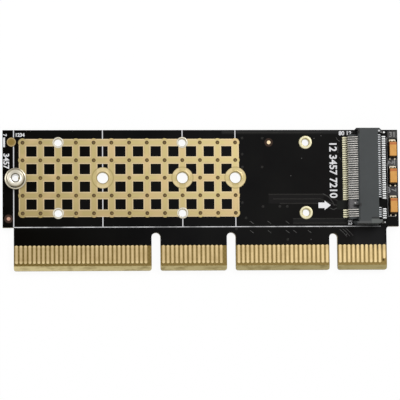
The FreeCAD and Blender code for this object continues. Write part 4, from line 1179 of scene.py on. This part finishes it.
# Camera, light and floor, in metres and degrees.
stageLook = {
    "lens": 225.0, "sensor": 36.0, "clipStart": 0.01,
    "cameraAt": (-0.039752, -0.055485, 0.561563), "cameraTurn": (5.6816, -3.9694, -0.5605),
    "worldLevel": 0.62, "white": (1.0, 1.0, 1.0, 1.0),
    "keyAt": (0.22, 0.24, 0.42), "keyPower": 1.1, "keySize": 0.22,
    "fillAt": (-0.3, 0.1, 0.4), "fillPower": 0.7, "fillSize": 0.3,
    "floorColour": (0.92, 0.92, 0.92, 1.0), "floorRoughness": 0.9, "floorShadow": 0.07,
    "floorHalf": 1.5, "floorHeight": -0.0001,
}
def addLamp(name, where, power, size):
    lamp = bpy.data.lights.new(name, "AREA")
    lamp.shape = "DISK"
    lamp.size = size
    lamp.energy = power
    holder = bpy.data.objects.new(name, lamp)
    bpy.context.collection.objects.link(holder)
    holder.location = where
    holder.rotation_euler = (Vector(where) * -1).to_track_quat("-Z", "Y").to_euler()


lensView = bpy.data.cameras.new("camera")
lensView.lens = stageLook["lens"]
lensView.sensor_width = stageLook["sensor"]
lensView.clip_start = stageLook["clipStart"]
camera = bpy.data.objects.new("camera", lensView)
bpy.context.collection.objects.link(camera)
camera.location = stageLook["cameraAt"]
camera.rotation_euler = Euler([math.radians(turn) for turn in stageLook["cameraTurn"]])
bpy.context.scene.camera = camera
addLamp("keyLamp", stageLook["keyAt"], stageLook["keyPower"], stageLook["keySize"])
addLamp("fillLamp", stageLook["fillAt"], stageLook["fillPower"], stageLook["fillSize"])


# White to the camera, to gloss and through glass; a plain level to everything else.
def seenDirectly(tree):
    path = addNode(tree, "ShaderNodeLightPath").outputs
    return sums(tree, "MAXIMUM", sums(tree, "MAXIMUM", path["Is Camera Ray"], path["Is Glossy Ray"]),
                path["Is Transmission Ray"])


world = bpy.data.worlds.new("studio")
world.use_nodes = True
bpy.context.scene.world = world
backdrop = world.node_tree.nodes["Background"]
backdrop.inputs["Color"].default_value = stageLook["white"]
level = stretch(world.node_tree, seenDirectly(world.node_tree), 0.0, 1.0, stageLook["worldLevel"], 1.0)
world.node_tree.links.new(level, backdrop.inputs["Strength"])

floorMesh = bpy.data.meshes.new("floor")
floorCorners = [(x * stageLook["floorHalf"], y * stageLook["floorHalf"], stageLook["floorHeight"])
                for x, y in ((-1, -1), (1, -1), (1, 1), (-1, 1))]
floorMesh.from_pydata(floorCorners, [], [(0, 1, 2, 3)])
floorPaint = bpy.data.materials.new("floorPaint")
floorPaint.use_nodes = True
floorTree = floorPaint.node_tree
floorShader = floorTree.nodes["Principled BSDF"]
floorShader.inputs["Base Color"].default_value = stageLook["floorColour"]
floorShader.inputs["Roughness"].default_value = stageLook["floorRoughness"]
floorShader.inputs["Specular IOR Level"].default_value = 0.0
glow = addNode(floorTree, "ShaderNodeEmission", {"Color": stageLook["white"], "Strength": 1.0})
share = stretch(floorTree, seenDirectly(floorTree), 0.0, 1.0, 0.0, 1.0 - stageLook["floorShadow"])
mixed = addNode(floorTree, "ShaderNodeMixShader", {0: share, 1: floorShader.outputs[0], 2: glow.outputs[0]})
floorTree.links.new(mixed.outputs[0], floorTree.nodes["Material Output"].inputs["Surface"])
floorMesh.materials.append(floorPaint)
floor = bpy.data.objects.new("floor", floorMesh)
bpy.context.collection.objects.link(floor)

bpy.context.scene.view_settings.view_transform = "Standard"
print("scene ready")
